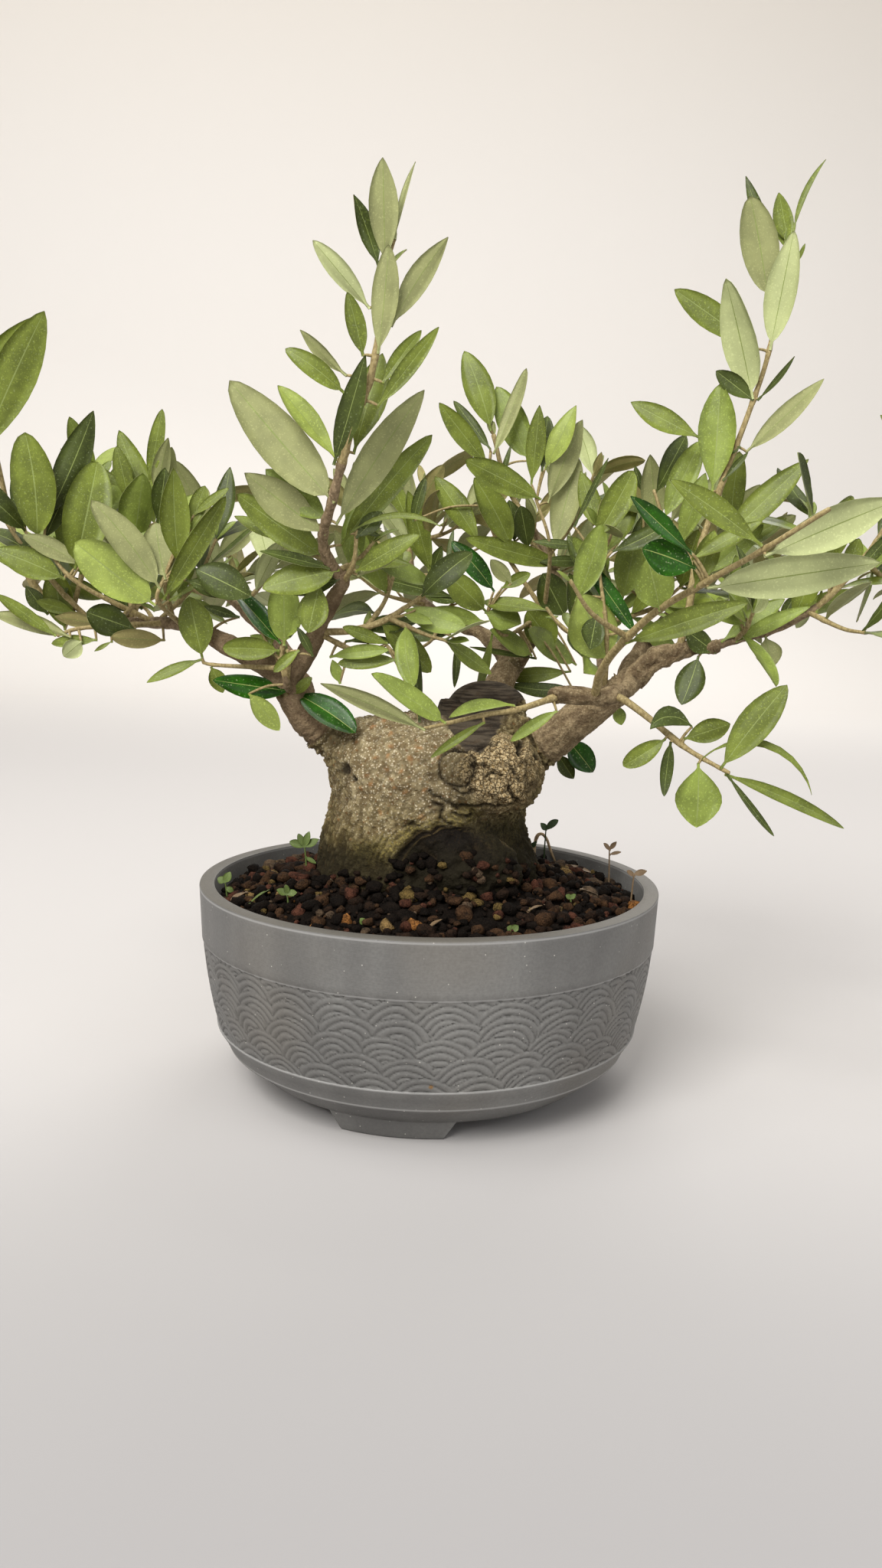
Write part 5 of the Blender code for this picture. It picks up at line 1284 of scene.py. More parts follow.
# %% Leaves seen in the photograph
# A capital letter puts a leaf behind its twig. Upper sides: g glossy, d deep, m middling, f fresh,
# y yellow green. Undersides: s sage, p pale, o brownish. A last number bends the leaf, in degrees.
Spray = namedtuple("Spray", "mass depth twig leaves")
SPRAYS = (
    Spray("leader", -62, (), (
        (503, 345, 500, 203, 38, "s"), (494, 346, 461, 253, 25, "d"), (516, 312, 543, 210, 7, "S", 14),
        (494, 461, 508, 318, 36, "s"), (482, 402, 407, 313, 27, "p"), (512, 425, 585, 310, 27, "s"),
        (474, 464, 453, 380, 27, "m"), (452, 490, 391, 430, 20, "s"), (448, 512, 370, 453, 23, "m"),
        (500, 500, 551, 430, 20, "m"), (494, 530, 574, 425, 22, "m"), (436, 606, 478, 462, 30, "d"),
        (462, 592, 499, 458, 42, "M"), (436, 656, 300, 497, 64, "s"), (440, 600, 362, 502, 34, "Y"),
        (440, 684, 551, 508, 43, "s"), (446, 712, 565, 567, 33, "M"), (430, 640, 339, 580, 36, "F"),
        (428, 680, 346, 612, 38, "F"), (424, 698, 318, 617, 46, "s"), (424, 728, 309, 645, 38, "M"))),
    Spray("leader", -36, ((455, 766), (462, 735), (466, 692)), (
        (430, 742, 338, 720, 20, "d"), (442, 745, 341, 768, 42, "m"), (446, 755, 376, 776, 22, "d"),
        (418, 762, 402, 828, 40, "m"), (468, 752, 539, 706, 20, "s"), (466, 746, 548, 698, 30, "m"),
        (458, 697, 577, 688, 8, "m", -70), (466, 702, 500, 668, 22, "d"), (470, 690, 498, 700, 8, "d", 10))),
    Spray("left_inner", -22, ((392, 880), (378, 856), (368, 842)), (
        (366, 840, 298, 763, 34, "g"), (371, 842, 370, 752, 38, "f"), (364, 850, 289, 846, 31, "m"),
        (381, 903, 276, 889, 36, "g"), (325, 906, 366, 955, 28, "y"), (388, 907, 465, 955, 38, "g"),
        (390, 850, 356, 878, 14, "m"), (384, 906, 408, 884, 15, "m"), (408, 856, 388, 818, 12, "d"))),
    Spray("left_inner", -14, ((300, 872), (276, 868), (264, 860)), (
        (264, 858, 246, 778, 40, "m"), (262, 862, 188, 890, 14, "m"), (276, 872, 292, 906, 22, "m"))),
    Spray("left_crown", -8, ((60, 818), (20, 700), (-28, 600)), (
        (-28, 600, 56, 404, 48, "m"), (-40, 540, 40, 414, 40, "m"), (-30, 600, -60, 470, 44, "m"))),
    Spray("left_crown", -14, ((140, 800), (100, 760), (55, 708)), (
        (48, 706, 32, 563, 56, "m"), (62, 676, 123, 536, 34, "D"), (60, 702, 88, 645, 22, "D"),
        (106, 738, 28, 698, 23, "s"), (98, 742, 130, 594, 54, "m"), (84, 756, -12, 716, 36, "m"),
        (85, 822, 70, 745, 38, "m"), (62, 802, 33, 764, 22, "d"))),
    Spray("left_crown", -2, ((175, 800), (172, 740), (178, 700)), (
        (172, 640, 78, 586, 16, "m"), (205, 690, 155, 561, 32, "m"), (168, 655, 152, 581, 20, "m"),
        (195, 628, 212, 533, 17, "m"), (203, 645, 220, 570, 23, "s"), (205, 682, 216, 610, 24, "d"),
        (172, 722, 188, 618, 42, "f"), (142, 710, 76, 625, 25, "s"))),
    Spray("left_crown", -26, ((205, 812), (206, 785), (212, 760)), (
        (208, 768, 118, 652, 38, "s"), (202, 790, 97, 706, 60, "y"), (216, 756, 203, 681, 44, "s"),
        (234, 740, 226, 610, 35, "m"), (214, 782, 296, 648, 30, "m"), (250, 690, 268, 633, 20, "m"),
        (254, 672, 299, 636, 13, "m"), (252, 742, 330, 778, 46, "d"), (222, 784, 305, 725, 8, "m", 20),
        (244, 758, 302, 780, 22, "d"))),
    Spray("left_crown", -18, ((150, 815), (110, 820), (75, 830)), (
        (72, 830, -6, 776, 17, "m"), (92, 832, -10, 800, 23, "s"), (98, 800, 45, 784, 16, "m"),
        (126, 815, 70, 805, 20, "o"), (176, 822, 112, 799, 36, "d"), (214, 836, 145, 832, 25, "o"),
        (106, 838, 82, 858, 24, "p"), (126, 836, 65, 840, 14, "m"), (146, 838, 122, 851, 6, "m"))),
    Spray("left_crown", 4, ((200, 815), (190, 795), (165, 780)), (
        (165, 800, 135, 760, 24, "d"), (185, 795, 150, 765, 30, "d"), (312, 806, 265, 791, 14, "d"))),
    Spray("inner_spray", -20, ((425, 862), (470, 852), (505, 842)), (
        (505, 840, 445, 819, 18, "m"), (480, 838, 482, 793, 12, "m"), (432, 858, 508, 848, 20, "f"),
        (452, 838, 524, 838, 12, "d"), (520, 862, 440, 866, 21, "m"), (444, 892, 434, 860, 17, "f"),
        (548, 942, 540, 828, 16, "d"))),
    Spray("back_centre_crown", 30, ((590, 826), (562, 838), (520, 858)), (
        (588, 828, 522, 831, 20, "d"), (597, 836, 594, 899, 11, "d"), (542, 853, 502, 852, 11, "d"),
        (600, 782, 466, 748, 22, "d"), (632, 812, 560, 796, 23, "f"), (602, 786, 552, 778, 16, "d"),
        (562, 750, 500, 610, 28, "m"), (564, 750, 532, 640, 26, "m"), (563, 752, 577, 712, 18, "d"))),
    Spray("back_right_crown", 52, ((640, 760), (638, 680), (641, 590)), (
        (641, 562, 607, 455, 35, "m"), (640, 586, 592, 523, 15, "d"), (638, 608, 573, 525, 28, "m"),
        (645, 592, 688, 482, 19, "s"), (628, 712, 568, 620, 32, "m"), (668, 715, 620, 622, 36, "m"),
        (645, 650, 668, 580, 8, "d"), (585, 745, 592, 690, 8, "d"), (540, 680, 556, 622, 14, "d"))),
    Spray("back_right_crown", 34, ((740, 782), (718, 715), (700, 652)), (
        (690, 602, 647, 503, 38, "f"), (694, 632, 705, 528, 25, "m"), (708, 615, 716, 541, 24, "d"),
        (712, 612, 753, 527, 32, "y"), (716, 656, 762, 547, 34, "s"), (724, 717, 756, 598, 38, "s"),
        (706, 652, 607, 600, 34, "m"), (672, 708, 665, 652, 26, "d"), (690, 716, 680, 660, 27, "d"),
        (736, 738, 607, 703, 27, "m"), (762, 714, 695, 706, 13, "d"), (770, 735, 704, 734, 18, "d"))),
    Spray("back_right_crown", 20, ((700, 858), (660, 830), (636, 800)), (
        (645, 772, 588, 705, 26, "g"), (634, 798, 580, 745, 36, "m"), (668, 762, 640, 730, 18, "s"),
        (634, 800, 682, 816, 36, "f"), (694, 856, 640, 822, 30, "f"), (752, 868, 684, 822, 30, "f"),
        (724, 846, 688, 797, 44, "m"), (738, 806, 708, 748, 42, "d"), (656, 768, 694, 748, 16, "m"),
        (745, 877, 650, 884, 20, "m"), (748, 900, 664, 896, 20, "d"), (700, 860, 612, 845, 7, "d"),
        (643, 828, 621, 914, 13, "f"))),
    Spray("right_inner", -18, ((790, 880), (792, 830), (782, 740)), (
        (794, 864, 757, 775, 62, "y"), (752, 784, 788, 682, 42, "f"), (778, 702, 828, 613, 35, "m"),
        (750, 688, 795, 597, 8, "d"), (832, 830, 762, 730, 24, "g"), (812, 784, 832, 692, 42, "f"),
        (856, 692, 849, 592, 31, "s"), (842, 645, 829, 607, 10, "d"), (876, 682, 918, 622, 20, "s"),
        (800, 720, 880, 680, 26, "d"), (836, 780, 842, 720, 26, "m"), (780, 800, 770, 850, 30, "d"))),
    Spray("right_leader", -14, (), (
        (1012, 345, 973, 228, 17, "d"), (1003, 390, 980, 255, 38, "s"), (1030, 318, 1017, 250, 24, "m"),
        (1037, 302, 1079, 205, 7, "m", -30), (1006, 456, 1038, 300, 38, "p"), (1040, 344, 1052, 317, 5, "m"),
        (990, 456, 880, 377, 31, "M"), (983, 520, 949, 362, 47, "p"), (983, 522, 934, 484, 21, "d"),
        (990, 522, 1039, 464, 7, "d"), (975, 590, 1077, 494, 27, "s"), (930, 642, 941, 500, 45, "f"),
        (915, 572, 823, 523, 31, "M"), (945, 627, 978, 588, 9, "d"), (935, 714, 1057, 597, 36, "m"),
        (966, 584, 948, 592, 9, "d"))),
    Spray("front_spray", -60, (), (
        (994, 712, 873, 625, 32, "m"), (1000, 726, 1172, 652, 48, "p"), (925, 768, 1150, 733, 50, "p"),
        (818, 840, 978, 787, 36, "m"), (903, 722, 822, 647, 28, "g"), (907, 742, 838, 716, 44, "g"),
        (862, 797, 845, 728, 48, "f"), (908, 766, 935, 690, 34, "m"), (905, 730, 998, 682, 22, "m"))),
    Spray("right_tip", -16, (), (
        (943, 838, 1026, 781, 27, "f"), (962, 838, 1058, 790, 20, "f"), (934, 852, 893, 822, 32, "d"),
        (1000, 832, 1009, 873, 34, "s"), (912, 858, 890, 922, 36, "d"), (1020, 812, 1040, 775, 16, "d"),
        (1108, 752, 1122, 702, 20, "m"), (1066, 800, 1074, 768, 6, "m"), (1120, 745, 1170, 692, 18, "d"))),
    Spray("drooping_spray", -46, (), (
        (868, 966, 812, 1001, 24, "m"), (876, 970, 867, 1041, 17, "d"), (912, 998, 910, 1083, 56, "f"),
        (903, 950, 848, 952, 26, "d", 110), (894, 965, 956, 945, 29, "m"), (942, 1003, 1030, 893, 43, "m"),
        (918, 992, 1062, 1038, 9, "m", -125), (948, 1012, 1108, 1082, 17, "m"),
        (950, 1012, 1012, 1093, 9, "d"))),
    Spray("low_front_spray", -46, (), (
        (554, 953, 418, 889, 25, "s"), (581, 944, 484, 879, 31, "f"), (671, 922, 585, 938, 17, "f", 34),
        (632, 944, 561, 990, 13, "m"), (727, 929, 666, 969, 15, "f"))),
    Spray("low_right_spray", 2, (), (
        (742, 968, 778, 1009, 36, "g"), (728, 985, 750, 1018, 23, "d"), (806, 922, 812, 948, 18, "f"))),
)

print("masses:", len(MASSES), "leaves that the photograph shows:", sum(len(spray.leaves) for spray in SPRAYS))

# %% [markdown]
# Leaves on the real plant don't pass through each other. Before a leaf or a shoot grown by rule is kept, a
# plain shape that stands for it is tested against the wood and against all that has grown. Only its root may
# touch, because it sits on a twig.

# %% Stand-ins for the touch test
LEAF_SINK = 0.3
LEAF_OUTLINE = ((1, 0), (0.30, 0.92), (-0.38, 0.95), (-1, 0), (-0.38, -0.95), (0.30, -0.92))
ROOT_SHARE = 0.22
PROBE_THICK = 1.5
Standin = namedtuple("Standin", "points faces tree")


def stand_in(points, faces):
    return Standin(points, faces, BVHTree.FromPolygons(points, faces))


def leaf_probe(place, length, width, start):
    """A flat double pyramid with a leaf's outline, from a distance along the leaf on."""
    half = (length - start) / 2
    corners = [(along, across, 0) for along, across in LEAF_OUTLINE] + [(-0.3, 0, 1), (-0.3, 0, -1)]
    points = [place @ Vector((start + half + half * along, width / 2 * across, PROBE_THICK / 2 * up))
              for along, across, up in corners]
    faces = [(side, (side + 1) % 6, 6) for side in range(6)]
    faces += [((side + 1) % 6, side, 7) for side in range(6)]
    return stand_in(points, faces)


def twig_probe(route, radius, start):
    """A square tube round a route from a share of its length on."""
    shares = np.linspace(start, 1, 2 + round(route.length / 12))
    rings, tip = tube_rings(Route([route.point(route.length * share) for share in shares]),
                            (radius, radius), (), 4, route.length / len(shares))
    points, quads, ends = tube_parts(rings, tip)
    return stand_in(points.tolist(), quads.tolist() + ends.tolist())


def tree_of(node):
    """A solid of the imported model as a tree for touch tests, in mm from the pot's axis."""
    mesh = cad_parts[node].data
    points = [(vertex.co - pot_axis) / MM for vertex in mesh.vertices]
    return BVHTree.FromPolygons(points, [list(polygon.vertices) for polygon in mesh.polygons])


wood_trees = [tree_of(node) for node in ("pot", "trunk", *(wood.name for wood in WOOD[1:]))]
grown = []


def is_clear(whole, rootless, own):
    """Whether a stand-in stays clear of the wood, and without its root of all other growth."""
    if any(whole.tree.overlap(tree) for tree in wood_trees):
        return False
    return not any(other is not own and rootless.tree.overlap(other.tree) for other in grown)


# %% [markdown]
# A leaf is a record until all have grown: its place, length and width, its shade and its bend.
# A Branch is a stem or a twig with its stand-in, and it knows which of its spots shows nearest
# to a place in the photograph.

# %% Leaves and branches
Leaf = namedtuple("Leaf", "mass place length width kind shade bend")
TWIG_THICK = (0.95, 0.5)
SPRAY_TWIG_THICK = (1.0, 0.5)
SHOOT_THICK = (0.6, 0.35)
STALK_THICKNESS = (0.5, 0.38)
leaves = []
branches = []


class Branch:
    """A stem or a twig: a line with a radius at its foot and one at its tip."""

    def __init__(self, mass, points, thick, trimmed=False):
        self.mass = mass
        self.trimmed = trimmed
        self.leafy = 0.0
        self.route = Route(points)
        self.thick = thick
        self.nodes = []
        self.whole = twig_probe(self.route, thick[0], 0)
        self.rootless = twig_probe(self.route, thick[0], ROOT_SHARE)
        self.marks = np.arange(0, self.route.length, 1.0)
        self.places = np.array([self.route.point(mark) for mark in self.marks])

    def bear(self, mark):
        """Something grows from a node at this mark."""
        self.nodes.append(mark)
        self.leafy = max(self.leafy, mark)

    def keep(self):
        grown.append(self.rootless)
        branches.append(self)
        return self

    def nearest_seen(self, across, down):
        """The gap in the photograph to the nearest spot of the line, the spot's mark and its place."""
        spots = in_photo(self.places)
        gaps = np.hypot(spots[0] - across, spots[1] - down)
        best = int(gaps.argmin())
        return gaps[best], self.marks[best], Vector(self.places[best])


def leaf_place(foot, direction, face_towards, twist):
    """The frame of a leaf: X along it, Z out of its upper face."""
    along = direction.normalized()
    normal = face_towards - face_towards.dot(along) * along
    if normal.length < 0.05:
        normal = along.orthogonal()
    normal = Matrix.Rotation(twist, 3, along) @ normal.normalized()
    across = normal.cross(along)
    return Matrix.Translation(foot) @ Matrix((along, across, normal)).transposed().to_4x4()


def add_leaf(mass, place, length, width, own, kind="ruled", shade=None, bend=0.0):
    """Keep a leaf if it touches nothing but the twig that it sits on."""
    whole = leaf_probe(place, length, width, 0.12 * length if kind == "seen" else 0)
    rootless = leaf_probe(place, length, width, ROOT_SHARE * length)
    if not is_clear(whole, rootless, own):
        return False
    grown.append(rootless)
    leaves.append(Leaf(mass, place, length, width, kind, shade, bend))
    return True


def spot_at(across, down, depth):
    """The spot at a depth in mm behind the pot's axis that shows at a place in the photograph."""
    ray = photo_ray(across, down)
    return CAMERA_PLACE + ray * ((depth - CAMERA_PLACE.y) / ray.y)


# %% Grow the stems, and the leaves that the photograph shows
LEANS = ((8, -3, 18, -12, 28), (-22, 38, -32, 48, 58))
SHIFTS = (0, 3, 7, 12)
TRIED = [(shift, lean) for leans in LEANS for shift in SHIFTS for lean in leans]
UNDERSIDES = "spo"
FORWARD_SHARE = 0.75
STALK_FROM = 1.4


def grow_spray_twig(spray, stem):
    """A twig through its places in the photograph, rooted at the nearest spot of the stem."""
    points = [spot_at(across, down, spray.depth) for across, down in spray.twig]
    mark = stem.route.nearest(points[0] + 0.6 * (points[0] - points[-1]))
    root = stem.route.point(mark)
    stem.bear(mark)
    places = smooth((root, *points[1:]), 5)
    return Branch(spray.mass, places, SPRAY_TWIG_THICK, True).keep()


def set_seen_leaf(spray, near, dice, foot_across, foot_down, tip_across, tip_down, width, shade, bend=0):
    """A leaf at the depth of the twig nearest to its foot. It leans until it touches nothing."""
    branch = min(near, key=lambda one: one.nearest_seen(foot_across, foot_down)[0])
    _, mark, spot = branch.nearest_seen(foot_across, foot_down)
    tip_gap, _, tip_spot = branch.nearest_seen(tip_across, tip_down)
    behind = shade.isupper()
    shade = shade.lower()
    way = 1 if not behind and (tip_gap < width or dice.random() < FORWARD_SHARE) else -1
    radius = branch.thick[0] + (branch.thick[1] - branch.thick[0]) * mark / branch.route.length
    for shift, lean in TRIED:
        foot = spot_at(foot_across, foot_down, spot.y + (shift + radius) * (1 if behind else -1))
        flat = spot_at(tip_across, tip_down, foot.y) - foot
        towards = (CAMERA_PLACE - foot).normalized()
        facing = (-1 if shade in UNDERSIDES else 1) * towards + 0.3 * UP
        depth = foot.y - way * flat.length * math.tan(math.radians(lean + dice.uniform(-4, 4)))
        if tip_gap < width and not behind:
            depth = min(depth, tip_spot.y - radius - 2.5 - 0.1 * lean)
        reach = spot_at(tip_across, tip_down, depth) - foot
        place = leaf_place(foot, reach, facing, math.radians(dice.uniform(-16, 16)))
        across = width * (foot - CAMERA_PLACE).length / FOCUS
        if add_leaf(spray.mass, place, reach.length, across, branch.rootless, "seen", shade, bend):
            break
    else:
        return False
    branch.bear(mark)
    if (foot - spot).length > STALK_FROM:
        middle = spot.lerp(foot, 0.5) + 0.08 * (foot - spot).length * UP
        branches.append(Branch(spray.mass, (spot, middle, foot), STALK_THICKNESS))
    return True


dice = random.Random(21)
stems = {mass.name: Branch(mass.name, smooth(mass.route, 6), mass.thick).keep() for mass in MASSES}
twigs_of = [[grow_spray_twig(spray, stems[spray.mass])] if spray.twig else [] for spray in SPRAYS]
missed = 0
for spray, twigs in zip(SPRAYS, twigs_of):
    for seen in spray.leaves:
        missed += not set_seen_leaf(spray, [stems[spray.mass], *twigs], dice, *seen)
print("seen leaves set:", len(leaves), "without room:", missed)

# %% [markdown]
# The rest of the crown grows by rule behind and round the leaves that show: shoots with pairs of leaves, a
# bud with tiny leaves at every tip, and short side shoots above older leaves. No ruled leaf grows where the
# photograph shows sky, or in front of a leaf that it shows.

# %% What the ruled growth keeps clear of
SKYLINE = ((0, 405), (50, 404), (62, 545), (123, 536), (140, 580), (155, 561), (185, 590), (212, 533),
           (224, 575), (245, 625), (298, 634), (302, 498), (362, 500), (370, 455), (392, 430), (406, 313),
           (452, 330), (460, 253), (500, 204), (544, 209), (586, 310), (590, 440), (592, 523), (608, 456),
           (648, 500), (697, 478), (752, 527), (794, 598), (822, 523), (880, 378), (949, 364), (973, 229),
           (1018, 250), (1038, 300), (1050, 480), (1085, 600), (1152, 655))
SKY_MARGIN = 6
SKY_GAPS = ((300, 500, 335, 640), (520, 420, 566, 575), (765, 380, 880, 590), (1050, 240, 1152, 640),
            (470, 762, 528, 812), (1050, 815, 1152, 1060), (900, 1000, 1152, 1300), (0, 870, 262, 1010))
seen_points = []
seen_faces = []
for leaf in leaves:
    probe = leaf_probe(leaf.place, leaf.length, leaf.width, 0)
    seen_faces += [tuple(corner + len(seen_points) for corner in face) for face in probe.faces]
    seen_points += probe.points
seen_tree = BVHTree.FromPolygons(seen_points, seen_faces)
sky_across, sky_down = np.array(SKYLINE).T


def spoils_view(place, length):
    """Whether a leaf would show against sky, or cover a leaf that the photograph shows."""
    for share in (0.35, 0.65, 0.95):
        spot = place @ Vector((share * length, 0, 0))
        across, down = in_photo(np.array([spot]))
        across, down = float(across[0]), float(down[0])
        if 0 < across < PHOTO_SIZE[0]:
            if down < np.interp(across, sky_across, sky_down) + SKY_MARGIN:
                return True
            if any(left < across < right and top < down < low for left, top, right, low in SKY_GAPS):
                return True
        ray = (spot - CAMERA_PLACE).normalized()
        if seen_tree.ray_cast(spot + 1.5 * ray, ray)[0]:
            return True
    return False


# %% Grow the ruled leaves
CROWN_MIDDLE = 22.0
CROWN_BLEND = 14.0
SPACE_MARGIN = 34.0
TRIES = 5
BUD_LEAVES = (9.5, 5.5)
SIDE_SHOOTS_AT = (0.32, 0.5, 0.66, 0.82)
SIDE_REACH = (5, 12)
SIDE_LEAVES_AT = (0.55, 0.97)
SIDE_LEAF = (9, 17)
SIDE_SHARE = {"left_crown": 0.25, "leader": 0.1, "right_leader": 0.1, "front_spray": 0.0,
              "drooping_spray": 0.0, "low_front_spray": 0.0, "low_right_spray": 0.0}
SIDE_SHARE_ELSEWHERE = 0.45


def face_direction(foot):
    """Blades face up, and out of the front or the back of the crown, whichever is nearer."""
    turn = max(-1.0, min(1.0, (foot.y - CROWN_MIDDLE) / CROWN_BLEND))
    return 0.7 * UP - (0.8 * turn) * FRONT + 0.15 * Vector((math.copysign(1, foot.x), 0, 0))


def sideways_from(axis, angle):
    return Matrix.Rotation(angle, 3, axis) @ axis.orthogonal().normalized()


class Grower:
    """Grows one mass's shoots and leaves by the rule, within the mass's own box."""

    def __init__(self, mass):
        self.mass = mass
        self.dice = random.Random(mass.seed)
        places = [Vector(place) for place in mass.route] + [Vector(shoot.tip) for shoot in mass.shoots]
        self.low = [min(place[axis] for place in places) - SPACE_MARGIN for axis in range(3)]
        self.high = [max(place[axis] for place in places) + SPACE_MARGIN for axis in range(3)]

    def try_leaf(self, foot, direction, length, branch, kind, spread=28):
        twist = math.radians(self.dice.uniform(-spread, spread))
        place = leaf_place(foot, direction, face_direction(foot), twist)
        tip = place @ Vector((length, 0, 0))
        if any(not low <= value <= high for value, low, high in zip(tip, self.low, self.high)):
            return False
        if spoils_view(place, length):
            return False
        return add_leaf(self.mass.name, place, length, length * self.mass.slender, branch.rootless, kind)

    def pairs(self, branch, count, leaf, first=0.30):
        """Opposite pairs of leaves along a branch, each pair a quarter turn on."""
        dice = self.dice
        route = branch.route
        turn = dice.uniform(0, 90)
        for index in range(count):
            share = first + (1 - first) * index / max(1, count - 1)
            foot = route.point(min(route.length * share, route.length - 1.2))
            axis = route.tangent(route.length * share)
            for side in (0, 180):
                for attempt in range(TRIES):
                    roll = math.radians(turn + 90 * index + side + dice.uniform(-14, 14) * (1 + attempt))
                    angle = math.radians(62 - 26 * share + dice.uniform(-9, 9) * (1 + attempt))
                    direction = math.cos(angle) * axis + math.sin(angle) * sideways_from(axis, roll)
                    length = leaf * dice.uniform(0.86, 1.10) * (1.0 - 0.16 * abs(2 * share - 1.1))
                    if self.try_leaf(foot, direction, length, branch, "ruled"):
                        branch.bear(route.length * share)
                        break

    def bud(self, branch):
        """Two small leaves and two tiny ones at a tip."""
        route = branch.route
        axis = route.tangent(route.length)
        turn = self.dice.uniform(0, 3)
        for pair, size in enumerate(BUD_LEAVES):
            for side in (0, math.pi):
                spread = math.radians(30 - 14 * pair)
                sideways = sideways_from(axis, turn + math.pi / 2 * pair + side)
                direction = math.cos(spread) * axis + math.sin(spread) * sideways
                if self.try_leaf(route.point(route.length - 0.4), direction, size, branch, "young"):
                    branch.bear(route.length)

    def side_shoot(self, branch, share):
        """A short shoot in a leaf's armpit with two pairs of small leaves."""
        route = branch.route
        foot = route.point(route.length * share)
        axis = route.tangent(route.length * share)
        sideways = sideways_from(axis, self.dice.uniform(0, math.tau))
        reach = self.dice.uniform(*SIDE_REACH) * (0.75 * axis + 0.65 * sideways + 0.25 * UP).normalized()
        line = (foot, foot + 0.5 * reach, foot + reach + 0.15 * reach.length * UP)
        shoot = Branch(self.mass.name, line, SHOOT_THICK)
        if not is_clear(shoot.whole, shoot.rootless, branch.rootless):
            return
        before = len(leaves)
        for index, at in enumerate(SIDE_LEAVES_AT):
            tangent = shoot.route.tangent(shoot.route.length * at)
            spot = shoot.route.point(shoot.route.length * at)
            for side in (0, math.pi):
                direction = 0.72 * tangent + 0.62 * sideways_from(tangent, math.pi / 2 * index + side)
                length = self.dice.uniform(*SIDE_LEAF) * (0.8 + 0.35 * index)
                self.try_leaf(spot, direction, length, shoot, "young", 35)
        if len(leaves) > before:
            branch.bear(route.length * share)
            shoot.keep()

    def shoot(self, stem, shoot):
        """A shoot leaves its stem outwards, and bends up to its tip."""
        for attempt in range(TRIES):
            foot = stem.route.point(stem.route.length * shoot.at)
            scatter = Vector([self.dice.uniform(-1, 1) for _ in range(3)])
            reach = Vector(shoot.tip) + 5 * attempt * scatter - foot
            outwards = Vector((reach.x, reach.y, 0.25 * reach.z))
            middle = foot + 0.5 * reach + 0.12 * outwards - 0.06 * reach.length * UP
            twig = Branch(self.mass.name, smooth((foot, middle, foot + reach), 5), TWIG_THICK, True)
            if is_clear(twig.whole, twig.rootless, stem.rootless):
                stem.bear(stem.route.length * shoot.at)
                return twig.keep()
        return None

    def grow(self, stem):
        mass = self.mass
        twigs = []
        for shoot in mass.shoots:
            twig = self.shoot(stem, shoot)
            if twig:
                twigs.append(twig)
                self.pairs(twig, shoot.pairs, shoot.leaf)
        if mass.pairs:
            self.pairs(stem, mass.pairs, mass.leaf, first=0.35)
        side_share = SIDE_SHARE.get(mass.name, SIDE_SHARE_ELSEWHERE)
        for branch in (stem, *twigs) if side_share else twigs:
            self.bud(branch)
            for share in SIDE_SHOOTS_AT:
                if self.dice.random() < side_share:
                    self.side_shoot(branch, share + self.dice.uniform(-0.05, 0.05))


for mass in MASSES:
    before = len(leaves)
    Grower(mass).grow(stems[mass.name])
    print(f"{mass.name}: {len(leaves) - before} ruled leaves")
print("leaves:", len(leaves), "branches:", len(branches))

# %% [markdown]
# An olive leaf is a narrow oval on a short stalk, folded a little along its midrib, arched along
# its length, and rolled under at its edges. Its upper side is grey green with a pale midrib, and
# its underside pale sage. Every leaf is a closed mesh of its own, worked out for all leaves at
# once: stations along it, columns across it, an upper skin and an under skin.

# %% Blades for all leaves at once
STATIONS = np.array([0.0, 0.035, 0.075, 0.12, 0.19, 0.28, 0.38, 0.49, 0.60, 0.71, 0.81, 0.90, 0.96, 1.0])
COLUMNS = np.array([-1.0, -0.55, -0.03, 0.03, 0.55, 1.0])
STALK_SHARE = 0.075
STALK_HALF = 0.42
STALK_THICK = 0.8
BLADE_THICK = 0.34
MIDRIB_RAISE = 0.14
LEAST_HALF = 0.12


def blade_outline(half_width, fullness, bluntness):
    """Half widths at the stations, for each leaf: a stalk, then an oval that ends in a fine tip."""
    along = np.clip((STATIONS - STALK_SHARE) / (1 - STALK_SHARE), 0, 1)
    oval = np.sin(math.pi * along ** fullness) ** bluntness
    stalk = np.where(STATIONS < STALK_SHARE + 0.02, STALK_HALF, 0.0)
    return np.maximum(np.maximum(oval * half_width, np.minimum(stalk, half_width)), LEAST_HALF)


